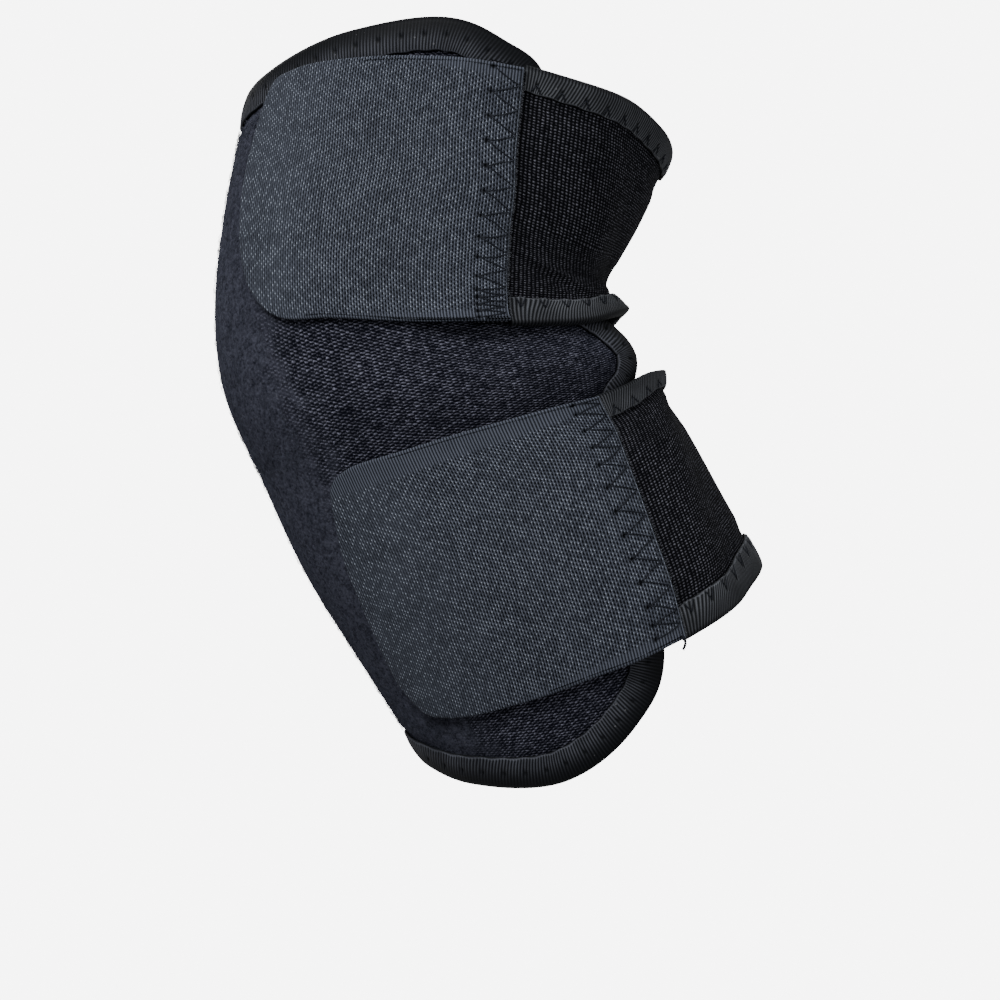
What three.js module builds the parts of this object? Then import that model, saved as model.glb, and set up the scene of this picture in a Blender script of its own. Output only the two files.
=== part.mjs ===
// A wrap-round elbow brace, worn on a bent arm and closed: a foam panel faced with loop cloth goes round
// the back of the elbow, and two elastic straps cross the front of the arm and end in hook tabs that are
// pressed onto the panel's lobes. Folded tape binds the panel's whole edge and both long edges of a strap.
//
// Millimetres. The origin is the middle of the elbow, inside the brace. +Z points up along the upper arm,
// +X towards the crease of the elbow and -Y towards the side where the straps close. Every piece is worked
// out on one arm form, in three measures: around it in degrees (0 at the crease, 90 on the closing side,
// 180 at the elbow's point), along its axis in millimetres (up is positive) and the height above its skin.
import * as THREE from "three";

// The arm that the brace is shaped on.
const ELBOW_DEPTH = 102; // from the elbow's point to the crease
const ELBOW_WIDTH = 79; // from side to side
const BEND_DEG = 40; // how far the elbow is bent
const BEND_RADIUS = 116; // of the arm's axis through the bend
const BEND_ABOVE = 0.42; // share of the bend that lies above the origin
const UPPER_LEAN_DEG = 13.5; // the upper arm leans forwards by this
const UPPER_REACH = 90; // along the axis, from the origin to the highest section
const FOREARM_REACH = 115; // and to the lowest one
const CREASE_SIDE_FULLNESS = 0.08; // how much wider the arm is in front than behind

// Cloth, foam and tape.
const PANEL_THICK = 3.2;
const PANEL_RIM_THICK = 1.7; // where the binding squeezes it
const STRAP_THICK = 2.6;
const STRAP_RIM_THICK = 1.2;
const TAB_THICK = 1.3;
const TAPE_THICK = 0.5;
const TAPE_COVER = 7.5; // how far the binding reaches in from an edge
const RIM_SLOPE = 2.5; // from the binding to the panel's full thickness
const GAP = 0.3; // left between any two pieces
const LAYER_GAP = 0.7; // and between a strap or a tab and what it lies on

// The cut of the panel and the straps.
const STRAP_WIDTH = 66;
const STRAP_SPACING = 27.5; // between the straps, on the closing side
const SPACING_MIDDLE = -10.75; // along the axis, the middle of that space
const UPPER_OVERHANG = 7; // the upper lobe shows past its strap by this
const LOWER_OVERHANG = 18;
const TAB_LAP = 7.2; // the tab is sewn onto the strap's end over this length
const LIFT_RUN = 10; // length in which a strap climbs onto the panel
const LIFT_LEAD = 9; // and the climb is over this far before the panel's edge
const TAB_FLAT = 2; // past the strap's end, before the tab starts down to the panel
const TAB_SETTLE = 14; // length in which it gets there

const rad = THREE.MathUtils.degToRad;
const UPPER_INNER = SPACING_MIDDLE + STRAP_SPACING / 2;
const LOWER_INNER = SPACING_MIDDLE - STRAP_SPACING / 2;
const PANEL_UP = UPPER_INNER + STRAP_WIDTH + UPPER_OVERHANG;
const PANEL_DOWN = -(LOWER_INNER - STRAP_WIDTH - LOWER_OVERHANG);
const BINDING_BUILD = TAPE_THICK + GAP; // what the binding adds on each face
const RIM_REACH = TAPE_COVER + GAP; // how far in an edge is squeezed
const STRAP_SEAT = Math.max(PANEL_THICK, PANEL_RIM_THICK + 2 * BINDING_BUILD) + LAYER_GAP;

// Sections of the arm, from the forearm up. along is a share of the reach, back and front are depths from
// the axis as shares of ELBOW_DEPTH, and width is a share of ELBOW_WIDTH. The front is pinched in above the
// crease, where the upper strap pulls tight, and fullest at the crease itself.
const ARM_SECTIONS = [
  { along: -1.0, back: 0.28, front: 0.6, width: 0.9 },
  { along: -0.87, back: 0.325, front: 0.574, width: 0.92 },
  { along: -0.61, back: 0.36, front: 0.553, width: 1.0 },
  { along: -0.39, back: 0.388, front: 0.541, width: 1.03 },
  { along: -0.175, back: 0.425, front: 0.51, width: 1.02 },
  { along: -0.035, back: 0.48, front: 0.5, width: 1.0 },
  { along: 0.09, back: 0.493, front: 0.445, width: 0.985 },
  { along: 0.255, back: 0.492, front: 0.402, width: 0.975 },
  { along: 0.5, back: 0.497, front: 0.452, width: 1.0 },
  { along: 0.755, back: 0.5, front: 0.5, width: 1.04 },
  { along: 1.0, back: 0.51, front: 0.56, width: 1.09 },
];

// Soft rolls and hollows of the worn cloth. around and spread are in degrees, along and run are shares of
// STRAP_SPACING from the middle of the space between the straps, and height is in panel thicknesses.
const FOLDS = [
  { around: 46, spread: 30, along: 0.03, run: 0.38, height: 0.7 },
  { around: -50, spread: 28, along: 0.03, run: 0.38, height: 0.6 },
];

// The panel's edge, from the crease over the upper lobe, round the back and home by the lower lobe.
// along is a share of PANEL_UP above the origin and of PANEL_DOWN below it.
const PANEL_EDGE = [
  { around: 28, along: -0.08 },
  { around: 31, along: 0.03 },
  { around: 43, along: 0.22 },
  { around: 62, along: 0.66 },
  { around: 71.5, along: 0.9 },
  { around: 84, along: 0.97 },
  { around: 98, along: 1.0 },
  { around: 124, along: 0.905 },
  { around: 159, along: 0.73 },
  { around: 190, along: 0.66 },
  { around: 225, along: 0.74 },
  { around: 262, along: 0.835 },
  { around: 285, along: 0.77 },
  { around: 298, along: 0.42 },
  { around: 318, along: -0.08 },
  { around: 303, along: -0.45 },
  { around: 287, along: -0.76 },
  { around: 262, along: -0.815 },
  { around: 215, along: -0.81 },
  { around: 172, along: -0.85 },
  { around: 147, along: -0.925 },
  { around: 117, along: -1.0 },
  { around: 90, along: -0.957 },
  { around: 73, along: -0.86 },
  { around: 58, along: -0.6 },
  { around: 42, along: -0.3 },
  { around: 31, along: -0.185 },
];
// Rows of PANEL_EDGE where its four sides meet: closing side, top, far side and bottom.
const PANEL_CORNERS = { nearTop: 4.4, farTop: 12, farBottom: 16, nearBottom: 23 };

// The straps' cut. run says how a strap's edges go round the arm: inner is its edge at the elbow and outer
// the other one, and each is drawn towards the elbow by a share of STRAP_WIDTH. ends gives where the strap
// starts on the far side and where its tab is sewn on, at its inner edge, middle and outer edge. tabEdge is
// the tab's free outline, from the seam's inner edge to its outer one, with along as a share of STRAP_WIDTH.
const UPPER_STRAP = {
  up: 1,
  innerEdge: UPPER_INNER,
  run: [
    { around: -92, inner: 0.0, outer: 0.045 },
    { around: -45, inner: 0.02, outer: 0.08 },
    { around: -25, inner: -0.02, outer: 0.1 },
    { around: 0, inner: -0.07, outer: 0.1 },
    { around: 25, inner: -0.01, outer: 0.05 },
    { around: 45, inner: 0.03, outer: 0.005 },
    { around: 68, inner: 0.0, outer: 0.0 },
    { around: 95, inner: -0.02, outer: 0.0 },
  ],
  ends: { root: -92, seamInner: 65.5, seamMiddle: 67.5, seamOuter: 77 },
  tabEdge: [
    { around: 92, along: 0.03 },
    { around: 112, along: 0.05 },
    { around: 130, along: 0.06, corner: "inner" },
    { around: 140.5, along: 0.14 },
    { around: 147, along: 0.27 },
    { around: 150, along: 0.42 },
    { around: 149.5, along: 0.63 },
    { around: 147, along: 0.765, corner: "outer" },
    { around: 139, along: 0.83 },
    { around: 117, along: 0.915 },
    { around: 95, along: 0.975 },
  ],
};
const LOWER_STRAP = {
  up: -1,
  innerEdge: LOWER_INNER,
  run: [
    { around: -92, inner: 0.0, outer: 0.05 },
    { around: -45, inner: 0.05, outer: 0.07 },
    { around: 0, inner: 0.09, outer: 0.08 },
    { around: 25, inner: 0.09, outer: 0.05 },
    { around: 40, inner: 0.03, outer: 0.015 },
    { around: 60, inner: 0.0, outer: 0.005 },
    { around: 90, inner: -0.02, outer: 0.0 },
  ],
  ends: { root: -92, seamInner: 50.5, seamMiddle: 54.5, seamOuter: 64 },
  tabEdge: [
    { around: 80, along: -0.025 },
    { around: 105, along: -0.02 },
    { around: 124, along: -0.01, corner: "inner" },
    { around: 131, along: 0.03 },
    { around: 134.5, along: 0.11 },
    { around: 140, along: 0.28 },
    { around: 145.5, along: 0.52 },
    { around: 148, along: 0.7 },
    { around: 145.5, along: 0.82, corner: "outer" },
    { around: 137, along: 0.885 },
    { around: 112, along: 0.95 },
    { around: 85, along: 0.985 },
  ],
};

// How finely the pieces are faceted.
const PANEL_CELLS_AROUND = 34;
const PANEL_CELLS_ALONG = 26;
const STRAP_CELLS_AROUND = 23;
const STRAP_INNER_ROWS = 5; // between the two bindings
const TAB_CELLS_AROUND = 11;
const SIDE_SAMPLES = 160; // for spacing an edge's points evenly

const COLOURS = {
  loopCloth: { color: 0x11131d, roughness: 0.95 },
  strapKnit: { color: 0x0b0c10, roughness: 0.85 },
  hookTape: { color: 0x262b33, roughness: 0.7 },
  bindingTape: { color: 0x16181c, roughness: 0.75 },
};

// The value of a table's column at x, on a smooth curve through its rows, and straight on past its ends.
function smoothColumn(rows, key, column, x) {
  const slope = (i) => {
    const before = rows[Math.max(i - 1, 0)];
    const after = rows[Math.min(i + 1, rows.length - 1)];
    return (after[column] - before[column]) / (after[key] - before[key]);
  };
  const last = rows.length - 1;
  if (x <= rows[0][key]) return rows[0][column] + slope(0) * (x - rows[0][key]);
  if (x >= rows[last][key]) return rows[last][column] + slope(last) * (x - rows[last][key]);
  const i = rows.findIndex((row, k) => k < last && x < rows[k + 1][key]);
  const span = rows[i + 1][key] - rows[i][key];
  const t = (x - rows[i][key]) / span;
  return (
    rows[i][column] * (1 + 2 * t) * (1 - t) ** 2 +
    rows[i + 1][column] * t * t * (3 - 2 * t) +
    span * (slope(i) * t * (1 - t) ** 2 + slope(i + 1) * t * t * (t - 1))
  );
}

// A point of the arm's axis and the direction across it towards the crease: the upper arm and the forearm
// are straight, with an arc between them.
function armAxis(along) {
  const bend = rad(BEND_DEG);
  const top = BEND_ABOVE * bend * BEND_RADIUS;
  const onArc = THREE.MathUtils.clamp(along, top - bend * BEND_RADIUS, top);
  const tiltAtOrigin = BEND_ABOVE * bend - rad(UPPER_LEAN_DEG);
  const tilt = tiltAtOrigin - onArc / BEND_RADIUS;
  const across = new THREE.Vector3(Math.cos(tilt), 0, Math.sin(tilt));
  const up = new THREE.Vector3(-Math.sin(tilt), 0, Math.cos(tilt));
  const point = new THREE.Vector3(Math.cos(tiltAtOrigin), 0, Math.sin(tiltAtOrigin))
    .sub(across)
    .multiplyScalar(BEND_RADIUS)
    .addScaledVector(up, along - onArc);
  return { point, across };
}

// A point of the arm's skin, with no folds.
function bareSkin(around, along) {
  const { point, across } = armAxis(along);
  const share = along / (along < 0 ? FOREARM_REACH : UPPER_REACH);
  const back = smoothColumn(ARM_SECTIONS, "along", "back", share) * ELBOW_DEPTH;
  const front = smoothColumn(ARM_SECTIONS, "along", "front", share) * ELBOW_DEPTH;
  const halfWidth = (smoothColumn(ARM_SECTIONS, "along", "width", share) * ELBOW_WIDTH) / 2;
  const c = Math.cos(around);
  const depth = (front - back) / 2 + ((front + back) / 2) * c;
  const side = -halfWidth * Math.sin(around) * (1 + CREASE_SIDE_FULLNESS * c);
  return point.addScaledVector(across, depth).setY(side);
}

const STEP_AROUND = 1e-3;
const STEP_ALONG = 0.05;

// The skin's two directions at a point, for one radian around and one millimetre along, and its normal.
function skinFrame(around, along) {
  const a = bareSkin(around + STEP_AROUND, along)
    .sub(bareSkin(around - STEP_AROUND, along))
    .divideScalar(2 * STEP_AROUND);
  const b = bareSkin(around, along + STEP_ALONG)
    .sub(bareSkin(around, along - STEP_ALONG))
    .divideScalar(2 * STEP_ALONG);
  return { a, b, normal: b.clone().cross(a).normalize() };
}

function foldHeight(around, along) {
  const degrees = THREE.MathUtils.radToDeg(around);
  const place = (along - SPACING_MIDDLE) / STRAP_SPACING;
  return FOLDS.reduce((sum, fold) => {
    const turned = THREE.MathUtils.euclideanModulo(degrees - fold.around + 180, 360) - 180;
    const bell = Math.exp(-((turned / fold.spread) ** 2) - ((place - fold.along) / fold.run) ** 2);
    return sum + fold.height * PANEL_THICK * bell;
  }, 0);
}

// A point at a height above the worn, folded skin.
function above({ around, along }, height) {
  const lift = height + foldHeight(around, along);
  return bareSkin(around, along).addScaledVector(skinFrame(around, along).normal, lift);
}

// The place that lies `across` millimetres to the left of a heading, on the skin. The heading is a vector.
function stepAside(place, heading, across) {
  const { a, b, normal } = skinFrame(place.around, place.along);
  const aside = normal.clone().cross(heading).normalize().multiplyScalar(across);
  const aa = a.dot(a);
  const ab = a.dot(b);
  const bb = b.dot(b);
  const det = aa * bb - ab * ab;
  return {
    around: place.around + (aside.dot(a) * bb - aside.dot(b) * ab) / det,
    along: place.along + (aside.dot(b) * aa - aside.dot(a) * ab) / det,
  };
}

// A closed edge's headings: at each of its places, the way along the edge, and how much longer a step
// aside has to be there to stay parallel to both neighbours.
function edgeHeadings(places) {
  const n = places.length;
  const spots = places.map((p) => bareSkin(p.around, p.along));
  return places.map((place, i) => {
    const arriving = spots[i].clone().sub(spots[(i - 1 + n) % n]).normalize();
    const leaving = spots[(i + 1) % n].clone().sub(spots[i]).normalize();
    const mitre = Math.sqrt(2 / (1 + arriving.dot(leaving)));
    return { place, heading: arriving.add(leaving), mitre };
  });
}

// Places along a curve of (around, along), evenly spaced on the skin, its two ends included.
function evenPlaces(curveAt, from, to, cells) {
  const places = [];
  for (let i = 0; i <= SIDE_SAMPLES; i++) places.push(curveAt(from + ((to - from) * i) / SIDE_SAMPLES));
  const spots = places.map((p) => bareSkin(p.around, p.along));
  const reached = [0];
  for (let i = 1; i < spots.length; i++) reached.push(reached[i - 1] + spots[i].distanceTo(spots[i - 1]));
  const total = reached[SIDE_SAMPLES];
  return Array.from({ length: cells + 1 }, (_, k) => {
    const wanted = (total * k) / cells;
    const i = Math.min(Math.max(reached.findIndex((r) => r >= wanted - 1e-9), 1), SIDE_SAMPLES);
    const t = (wanted - reached[i - 1]) / (reached[i] - reached[i - 1]);
    return mixPlaces(places[i - 1], places[i], t);
  });
}

const mixPlaces = (p, q, t) => ({
  around: THREE.MathUtils.lerp(p.around, q.around, t),
  along: THREE.MathUtils.lerp(p.along, q.along, t),
});

// A smooth curve through places. Its parameter counts the places.
function placeCurve(places, closed = false) {
  const points = places.map((p) => new THREE.Vector3(p.around, p.along / BEND_RADIUS, 0));
  const curve = new THREE.CatmullRomCurve3(points, closed, "centripetal");
  const spans = closed ? points.length : points.length - 1;
  return (t) => {
    const share = closed ? THREE.MathUtils.euclideanModulo(t / spans, 1) : t / spans;
    const v = curve.getPoint(share);
    return { around: v.x, along: v.y * BEND_RADIUS };
  };
}

// The outline of a piece from its four sides. bottom and top run one way, start and end run upwards, and the
// outline runs with the piece on its left.
function outlineOf({ bottom, end, top, start }) {
  return [
    ...bottom.slice(0, -1),
    ...end.slice(0, -1),
    ...top.slice(1).reverse(),
    ...start.slice(1).reverse(),
  ];
}

// The places inside four sides: each is carried in from all four.
function gridInside({ bottom, end, top, start }) {
  const cellsAround = bottom.length - 1;
  const cellsAcross = start.length - 1;
  return bottom.map((low, i) =>
    start.map((side, j) => {
      const u = i / cellsAround;
      const v = j / cellsAcross;
      const ruled = mixPlaces(low, top[i], v);
      const crossed = mixPlaces(side, end[j], u);
      const lowest = mixPlaces(bottom[0], bottom[cellsAround], u);
      const corners = mixPlaces(lowest, mixPlaces(top[0], top[cellsAround], u), v);
      return {
        around: ruled.around + crossed.around - corners.around,
        along: ruled.along + crossed.along - corners.along,
      };
    }),
  );
}

const sidesOfGrid = (grid) => ({
  bottom: grid.map((column) => column[0]),
  top: grid.map((column) => column[column.length - 1]),
  start: grid[0],
  end: grid[grid.length - 1],
});

// Four sides turned the other way round the arm: seen from outside, the piece is then on their left.
const seenFromOutside = ({ bottom, top, start, end }) => ({
  bottom: [...bottom].reverse(),
  top: [...top].reverse(),
  start: end,
  end: start,
});

// The faces of one closed body.
class Facets {
  constructor() {
    this.positions = [];
  }

  face(...points) {
    for (let i = 1; i + 1 < points.length; i++) {
      for (const p of [points[0], points[i], points[i + 1]]) this.positions.push(p.x, p.y, p.z);
    }
  }

  geometry() {
    const geometry = new THREE.BufferGeometry();
    geometry.setAttribute("position", new THREE.Float32BufferAttribute(this.positions, 3));
    geometry.computeVertexNormals();
    return geometry;
  }
}

// A quad is split the same way in every layer, from the edge forwards and inwards, so that layers which lie
// a small gap apart have parallel facets.
//
// A flat, soft piece. borders are the loops of places round it, outermost first, and the last one is the
// outline of grid. heights(place) gives the heights of its inner and its outer face above the skin.
function clothGeometry(borders, grid, heights) {
  const facets = new Facets();
  const inner = (place) => above(place, heights(place)[0]);
  const outer = (place) => above(place, heights(place)[1]);
  const loops = borders.map((places) => ({ inner: places.map(inner), outer: places.map(outer) }));
  const n = borders[0].length;
  for (let i = 0; i < n; i++) {
    const k = (i + 1) % n;
    const rim = loops[0];
    facets.face(rim.inner[k], rim.outer[k], rim.outer[i], rim.inner[i]);
    for (let r = 0; r + 1 < loops.length; r++) {
      const [o, p] = [loops[r], loops[r + 1]];
      facets.face(o.outer[i], o.outer[k], p.outer[k], p.outer[i]);
      facets.face(o.inner[i], p.inner[i], p.inner[k], o.inner[k]);
    }
  }
  for (let i = 0; i + 1 < grid.length; i++) {
    for (let j = 0; j + 1 < grid[i].length; j++) {
      const [a, b, c, d] = [grid[i][j], grid[i + 1][j], grid[i + 1][j + 1], grid[i][j + 1]];
      facets.face(outer(a), outer(b), outer(c), outer(d));
      facets.face(inner(a), inner(d), inner(c), inner(b));
    }
  }
  return facets.geometry();
}

// Tape folded over an edge: a U that clears the squeezed rim by GAP on both faces and at the edge.
// placeAt(i, d) is the place d millimetres in from the edge at its station i, and base(place) is the height
// at which the bound piece lies. The stations run with that piece on their left.
function bindingGeometry(stations, closed, rimThick, placeAt, base) {
  const low = BINDING_BUILD;
  const high = low + rimThick;
  const section = [
    [TAPE_COVER, high + BINDING_BUILD],
    [0, high + BINDING_BUILD],
    [-BINDING_BUILD, high],
    [-BINDING_BUILD, low],
    [0, 0],
    [TAPE_COVER, 0],
    [TAPE_COVER, TAPE_THICK],
    [-GAP, TAPE_THICK],
    [-GAP, high + GAP],
    [TAPE_COVER, high + GAP],
  ];
  const rings = Array.from({ length: stations }, (_, i) =>
    section.map(([d, height]) => {
      const place = placeAt(i, d);
      return above(place, base(place) + height);
    }),
  );
  const facets = new Facets();
  const last = rings[stations - 1];
  for (let i = 0; i < (closed ? stations : stations - 1); i++) {
    const [r, q] = [rings[i], rings[(i + 1) % stations]];
    for (let k = 0; k < section.length; k++) {
      const m = (k + 1) % section.length;
      if (section[m][0] < section[k][0]) facets.face(r[m], q[m], q[k], r[k]);
      else facets.face(r[k], r[m], q[m], q[k]);
    }
  }
  if (!closed) {
    const flat = section.map(([d, height]) => new THREE.Vector2(d, height));
    for (const [a, b, c] of THREE.ShapeUtils.triangulateShape(flat, [])) {
      const turned = flat[b].clone().sub(flat[a]).cross(flat[c].clone().sub(flat[a])) < 0;
      const [p, q] = turned ? [c, b] : [b, c];
      facets.face(rings[0][a], rings[0][q], rings[0][p]);
      facets.face(last[a], last[p], last[q]);
    }
  }
  return facets.geometry();
}

const panelCurve = placeCurve(
  PANEL_EDGE.map(({ around, along }) => ({
    around: rad(around),
    along: along * (along < 0 ? PANEL_DOWN : PANEL_UP),
  })),
  true,
);

function panelSides() {
  const { nearTop, farTop, farBottom, nearBottom } = PANEL_CORNERS;
  const rows = PANEL_EDGE.length;
  return {
    bottom: evenPlaces(panelCurve, nearBottom, farBottom, PANEL_CELLS_AROUND),
    end: evenPlaces(panelCurve, farBottom, farTop, PANEL_CELLS_ALONG),
    top: evenPlaces(panelCurve, nearTop, farTop, PANEL_CELLS_AROUND),
    start: evenPlaces(panelCurve, nearBottom, nearTop + rows, PANEL_CELLS_ALONG),
  };
}

const PANEL_SIDES = panelSides();
const byAlong = (p, q) => p.along - q.along;
const NEAR_EDGE = [...PANEL_SIDES.start].sort(byAlong);
const FAR_EDGE = PANEL_SIDES.end
  .map((p) => ({ around: p.around - 2 * Math.PI, along: p.along }))
  .sort(byAlong);

// How far round the panel's edge lies at a height along the arm, on the closing or the far side.
function edgeAround(edge, along) {
  const last = edge.length - 1;
  if (along <= edge[0].along) return edge[0].around;
  if (along >= edge[last].along) return edge[last].around;
  const i = edge.findIndex((p, k) => k < last && along < edge[k + 1].along);
  const t = (along - edge[i].along) / (edge[i + 1].along - edge[i].along);
  return THREE.MathUtils.lerp(edge[i].around, edge[i + 1].around, t);
}

// The length on the skin of one radian around.
const arcAt = ({ around, along }) => skinFrame(around, along).a.length();

// The height at which a strap lies: on the skin across the front of the arm, and lifted onto the panel and
// its binding on both sides of it.
function strapBase(place) {
  const arc = arcAt(place);
  const onto = (past) => THREE.MathUtils.smoothstep(past * arc, -(LIFT_LEAD + LIFT_RUN), -LIFT_LEAD);
  const near = onto(place.around - edgeAround(NEAR_EDGE, place.along));
  const far = onto(edgeAround(FAR_EDGE, place.along) - place.around);
  return STRAP_SEAT * Math.max(near, far);
}

// A strap, above the elbow where up is 1 and below it where up is -1. A share runs over its width from its
// inner edge, the one at the elbow, to its outer edge.
class Strap {
  constructor({ run, ends, innerEdge, up, tabEdge }) {
    Object.assign(this, { run, ends, innerEdge, up, tabEdge });
    this.stations = STRAP_CELLS_AROUND;
    this.widths = Array.from({ length: this.stations + 1 }, (_, i) => this.widthAt(i));
  }

  placeAt(around, share) {
    const degrees = THREE.MathUtils.radToDeg(around);
    const inner = smoothColumn(this.run, "around", "inner", degrees) * STRAP_WIDTH;
    const outer = (1 - smoothColumn(this.run, "around", "outer", degrees)) * STRAP_WIDTH;
    return { around, along: this.innerEdge + this.up * THREE.MathUtils.lerp(-inner, outer, share) };
  }

  seamAt(share) {
    const { seamInner, seamMiddle, seamOuter } = this.ends;
    const atInner = seamInner * (1 - share) * (1 - 2 * share);
    const atMiddle = seamMiddle * 4 * share * (1 - share);
    return rad(atInner + atMiddle + seamOuter * share * (2 * share - 1));
  }

  // The stations run from the root to the tab's seam, and the last one lies on under the tab.
  station(i, share) {
    const seam = this.seamAt(share);
    const arc = arcAt(this.placeAt(seam, share));
    if (i === this.stations) return this.placeAt(seam + TAB_LAP / arc, share);
    const bound = seam - GAP / arc;
    return this.placeAt(THREE.MathUtils.lerp(rad(this.ends.root), bound, i / (this.stations - 1)), share);
  }

  widthAt(i) {
    const spots = [0, 0.25, 0.5, 0.75, 1].map((share) => this.station(i, share));
    const points = spots.map((p) => bareSkin(p.around, p.along));
    return points.slice(1).reduce((sum, p, k) => sum + p.distanceTo(points[k]), 0);
  }

  // The shares of the rows of facets: the bindings' reach from both edges, then even rows between.
  rowShares(i) {
    const rim = RIM_REACH / this.widths[i];
    const full = (RIM_REACH + RIM_SLOPE) / this.widths[i];
    const even = Array.from({ length: STRAP_INNER_ROWS + 1 }, (_, k) => k / STRAP_INNER_ROWS);
    const middle = even.map((t) => THREE.MathUtils.lerp(full, 1 - full, t));
    return [0, rim, ...middle, 1 - rim, 1];
  }

  grid() {
    const columns = Array.from({ length: this.stations + 1 }, (_, i) => {
      const shares = this.rowShares(i);
      const column = shares.map((share, j) => {
        const rim = i === this.stations || j < 2 || j > shares.length - 3;
        return { ...this.station(i, share), rim };
      });
      return this.up > 0 ? column : column.reverse();
    });
    return columns.reverse();
  }

  geometry() {
    const grid = this.grid();
    return clothGeometry([outlineOf(sidesOfGrid(grid))], grid, (place) => {
      const base = strapBase(place);
      return place.rim
        ? [base + BINDING_BUILD, base + BINDING_BUILD + STRAP_RIM_THICK]
        : [base, base + STRAP_THICK];
    });
  }

  // A binding follows its edge with the strap on its left.
  bindingGeometry(isOuter) {
    const fromRoot = isOuter === this.up > 0;
    const placeAt = (i, d) => {
      const at = fromRoot ? i : this.stations - 1 - i;
      const share = d / this.widths[at];
      return this.station(at, isOuter ? 1 - share : share);
    };
    return bindingGeometry(this.stations, false, STRAP_RIM_THICK, placeAt, strapBase);
  }

  // The tab's sides: its first side is the seam, and the table gives the other three.
  tabSides() {
    const seamPlace = (share) => this.placeAt(this.seamAt(share), share);
    const free = this.tabEdge.map(({ around, along }) => ({
      around: rad(around),
      along: this.innerEdge + this.up * along * STRAP_WIDTH,
    }));
    const whole = [seamPlace(0), ...free, seamPlace(1)];
    const curve = placeCurve(whole);
    const corner = (name) => 1 + this.tabEdge.findIndex((row) => row.corner === name);
    const shares = this.rowShares(this.stations - 1);
    const inner = evenPlaces(curve, 0, corner("inner"), TAB_CELLS_AROUND);
    const outer = evenPlaces(curve, whole.length - 1, corner("outer"), TAB_CELLS_AROUND);
    const seam = shares.map(seamPlace);
    const end = evenPlaces(curve, corner("inner"), corner("outer"), shares.length - 1);
    return this.up > 0
      ? { bottom: inner, top: outer, start: seam, end }
      : { bottom: outer, top: inner, start: seam.reverse(), end: end.reverse() };
  }

  // A tab lies on the strap's end at the seam, and past that end it settles onto the panel.
  tabGeometry() {
    const onStrap = STRAP_RIM_THICK + 2 * BINDING_BUILD + LAYER_GAP;
    const from = TAB_LAP + TAB_FLAT;
    const seam = this.tabSides();
    const grid = gridInside(seenFromOutside(seam));
    return clothGeometry([outlineOf(sidesOfGrid(grid))], grid, (place) => {
      const share = THREE.MathUtils.clamp((this.up * (place.along - this.innerEdge)) / STRAP_WIDTH, 0, 1);
      const past = (place.around - this.seamAt(share)) * arcAt(place);
      const settled = THREE.MathUtils.smoothstep(past, from, from + TAB_SETTLE);
      const base = strapBase(place) + onStrap * (1 - settled);
      return [base, base + TAB_THICK];
    });
  }
}

function named(name, geometry, look) {
  const mesh = new THREE.Mesh(geometry, new THREE.MeshStandardMaterial({ metalness: 0, ...look }));
  mesh.name = name;
  return mesh;
}

function makePanel() {
  const sides = seenFromOutside(PANEL_SIDES);
  const headings = edgeHeadings(outlineOf(sides));
  const placeAt = (i, d) => {
    const { place, heading, mitre } = headings[i];
    return d === 0 ? place : stepAside(place, heading, d * mitre);
  };
  const border = (d, rim) => headings.map((_, i) => ({ ...placeAt(i, d), rim }));
  const full = border(RIM_REACH + RIM_SLOPE, false);
  const [across, along] = [PANEL_CELLS_AROUND, PANEL_CELLS_ALONG];
  const grid = gridInside({
    bottom: full.slice(0, across + 1),
    end: full.slice(across, across + along + 1),
    top: full.slice(across + along, 2 * across + along + 1).reverse(),
    start: [...full.slice(2 * across + along), full[0]].reverse(),
  });
  const panel = clothGeometry([border(0, true), border(RIM_REACH, true), full], grid, ({ rim }) =>
    rim ? [BINDING_BUILD, BINDING_BUILD + PANEL_RIM_THICK] : [0, PANEL_THICK],
  );
  const binding = bindingGeometry(headings.length, true, PANEL_RIM_THICK, placeAt, () => 0);
  return [
    named("body_panel", panel, COLOURS.loopCloth),
    named("body_binding", binding, COLOURS.bindingTape),
  ];
}

function makeStrap(name, cut) {
  const strap = new Strap(cut);
  return [
    named(`${name}_strap`, strap.geometry(), COLOURS.strapKnit),
    named(`${name}_inner_binding`, strap.bindingGeometry(false), COLOURS.bindingTape),
    named(`${name}_outer_binding`, strap.bindingGeometry(true), COLOURS.bindingTape),
    named(`${name}_hook_tab`, strap.tabGeometry(), COLOURS.hookTape),
  ];
}

const brace = new THREE.Group();
brace.add(...makePanel(), ...makeStrap("upper", UPPER_STRAP), ...makeStrap("lower", LOWER_STRAP));

export default brace;
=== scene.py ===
"""Dress the elbow brace: padded panel, elastic straps, hook tabs, folded tapes and stitches.

The cloth is worked out in millimetres on one arm form, in three measures: around it in radians (0 at the
crease, a quarter turn on the closing side), along its axis, and the height above its skin. Meshes are in
metres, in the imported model's frame.
"""
import logging
import math
from collections.abc import Callable
from dataclasses import dataclass, field
from enum import Enum

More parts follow.
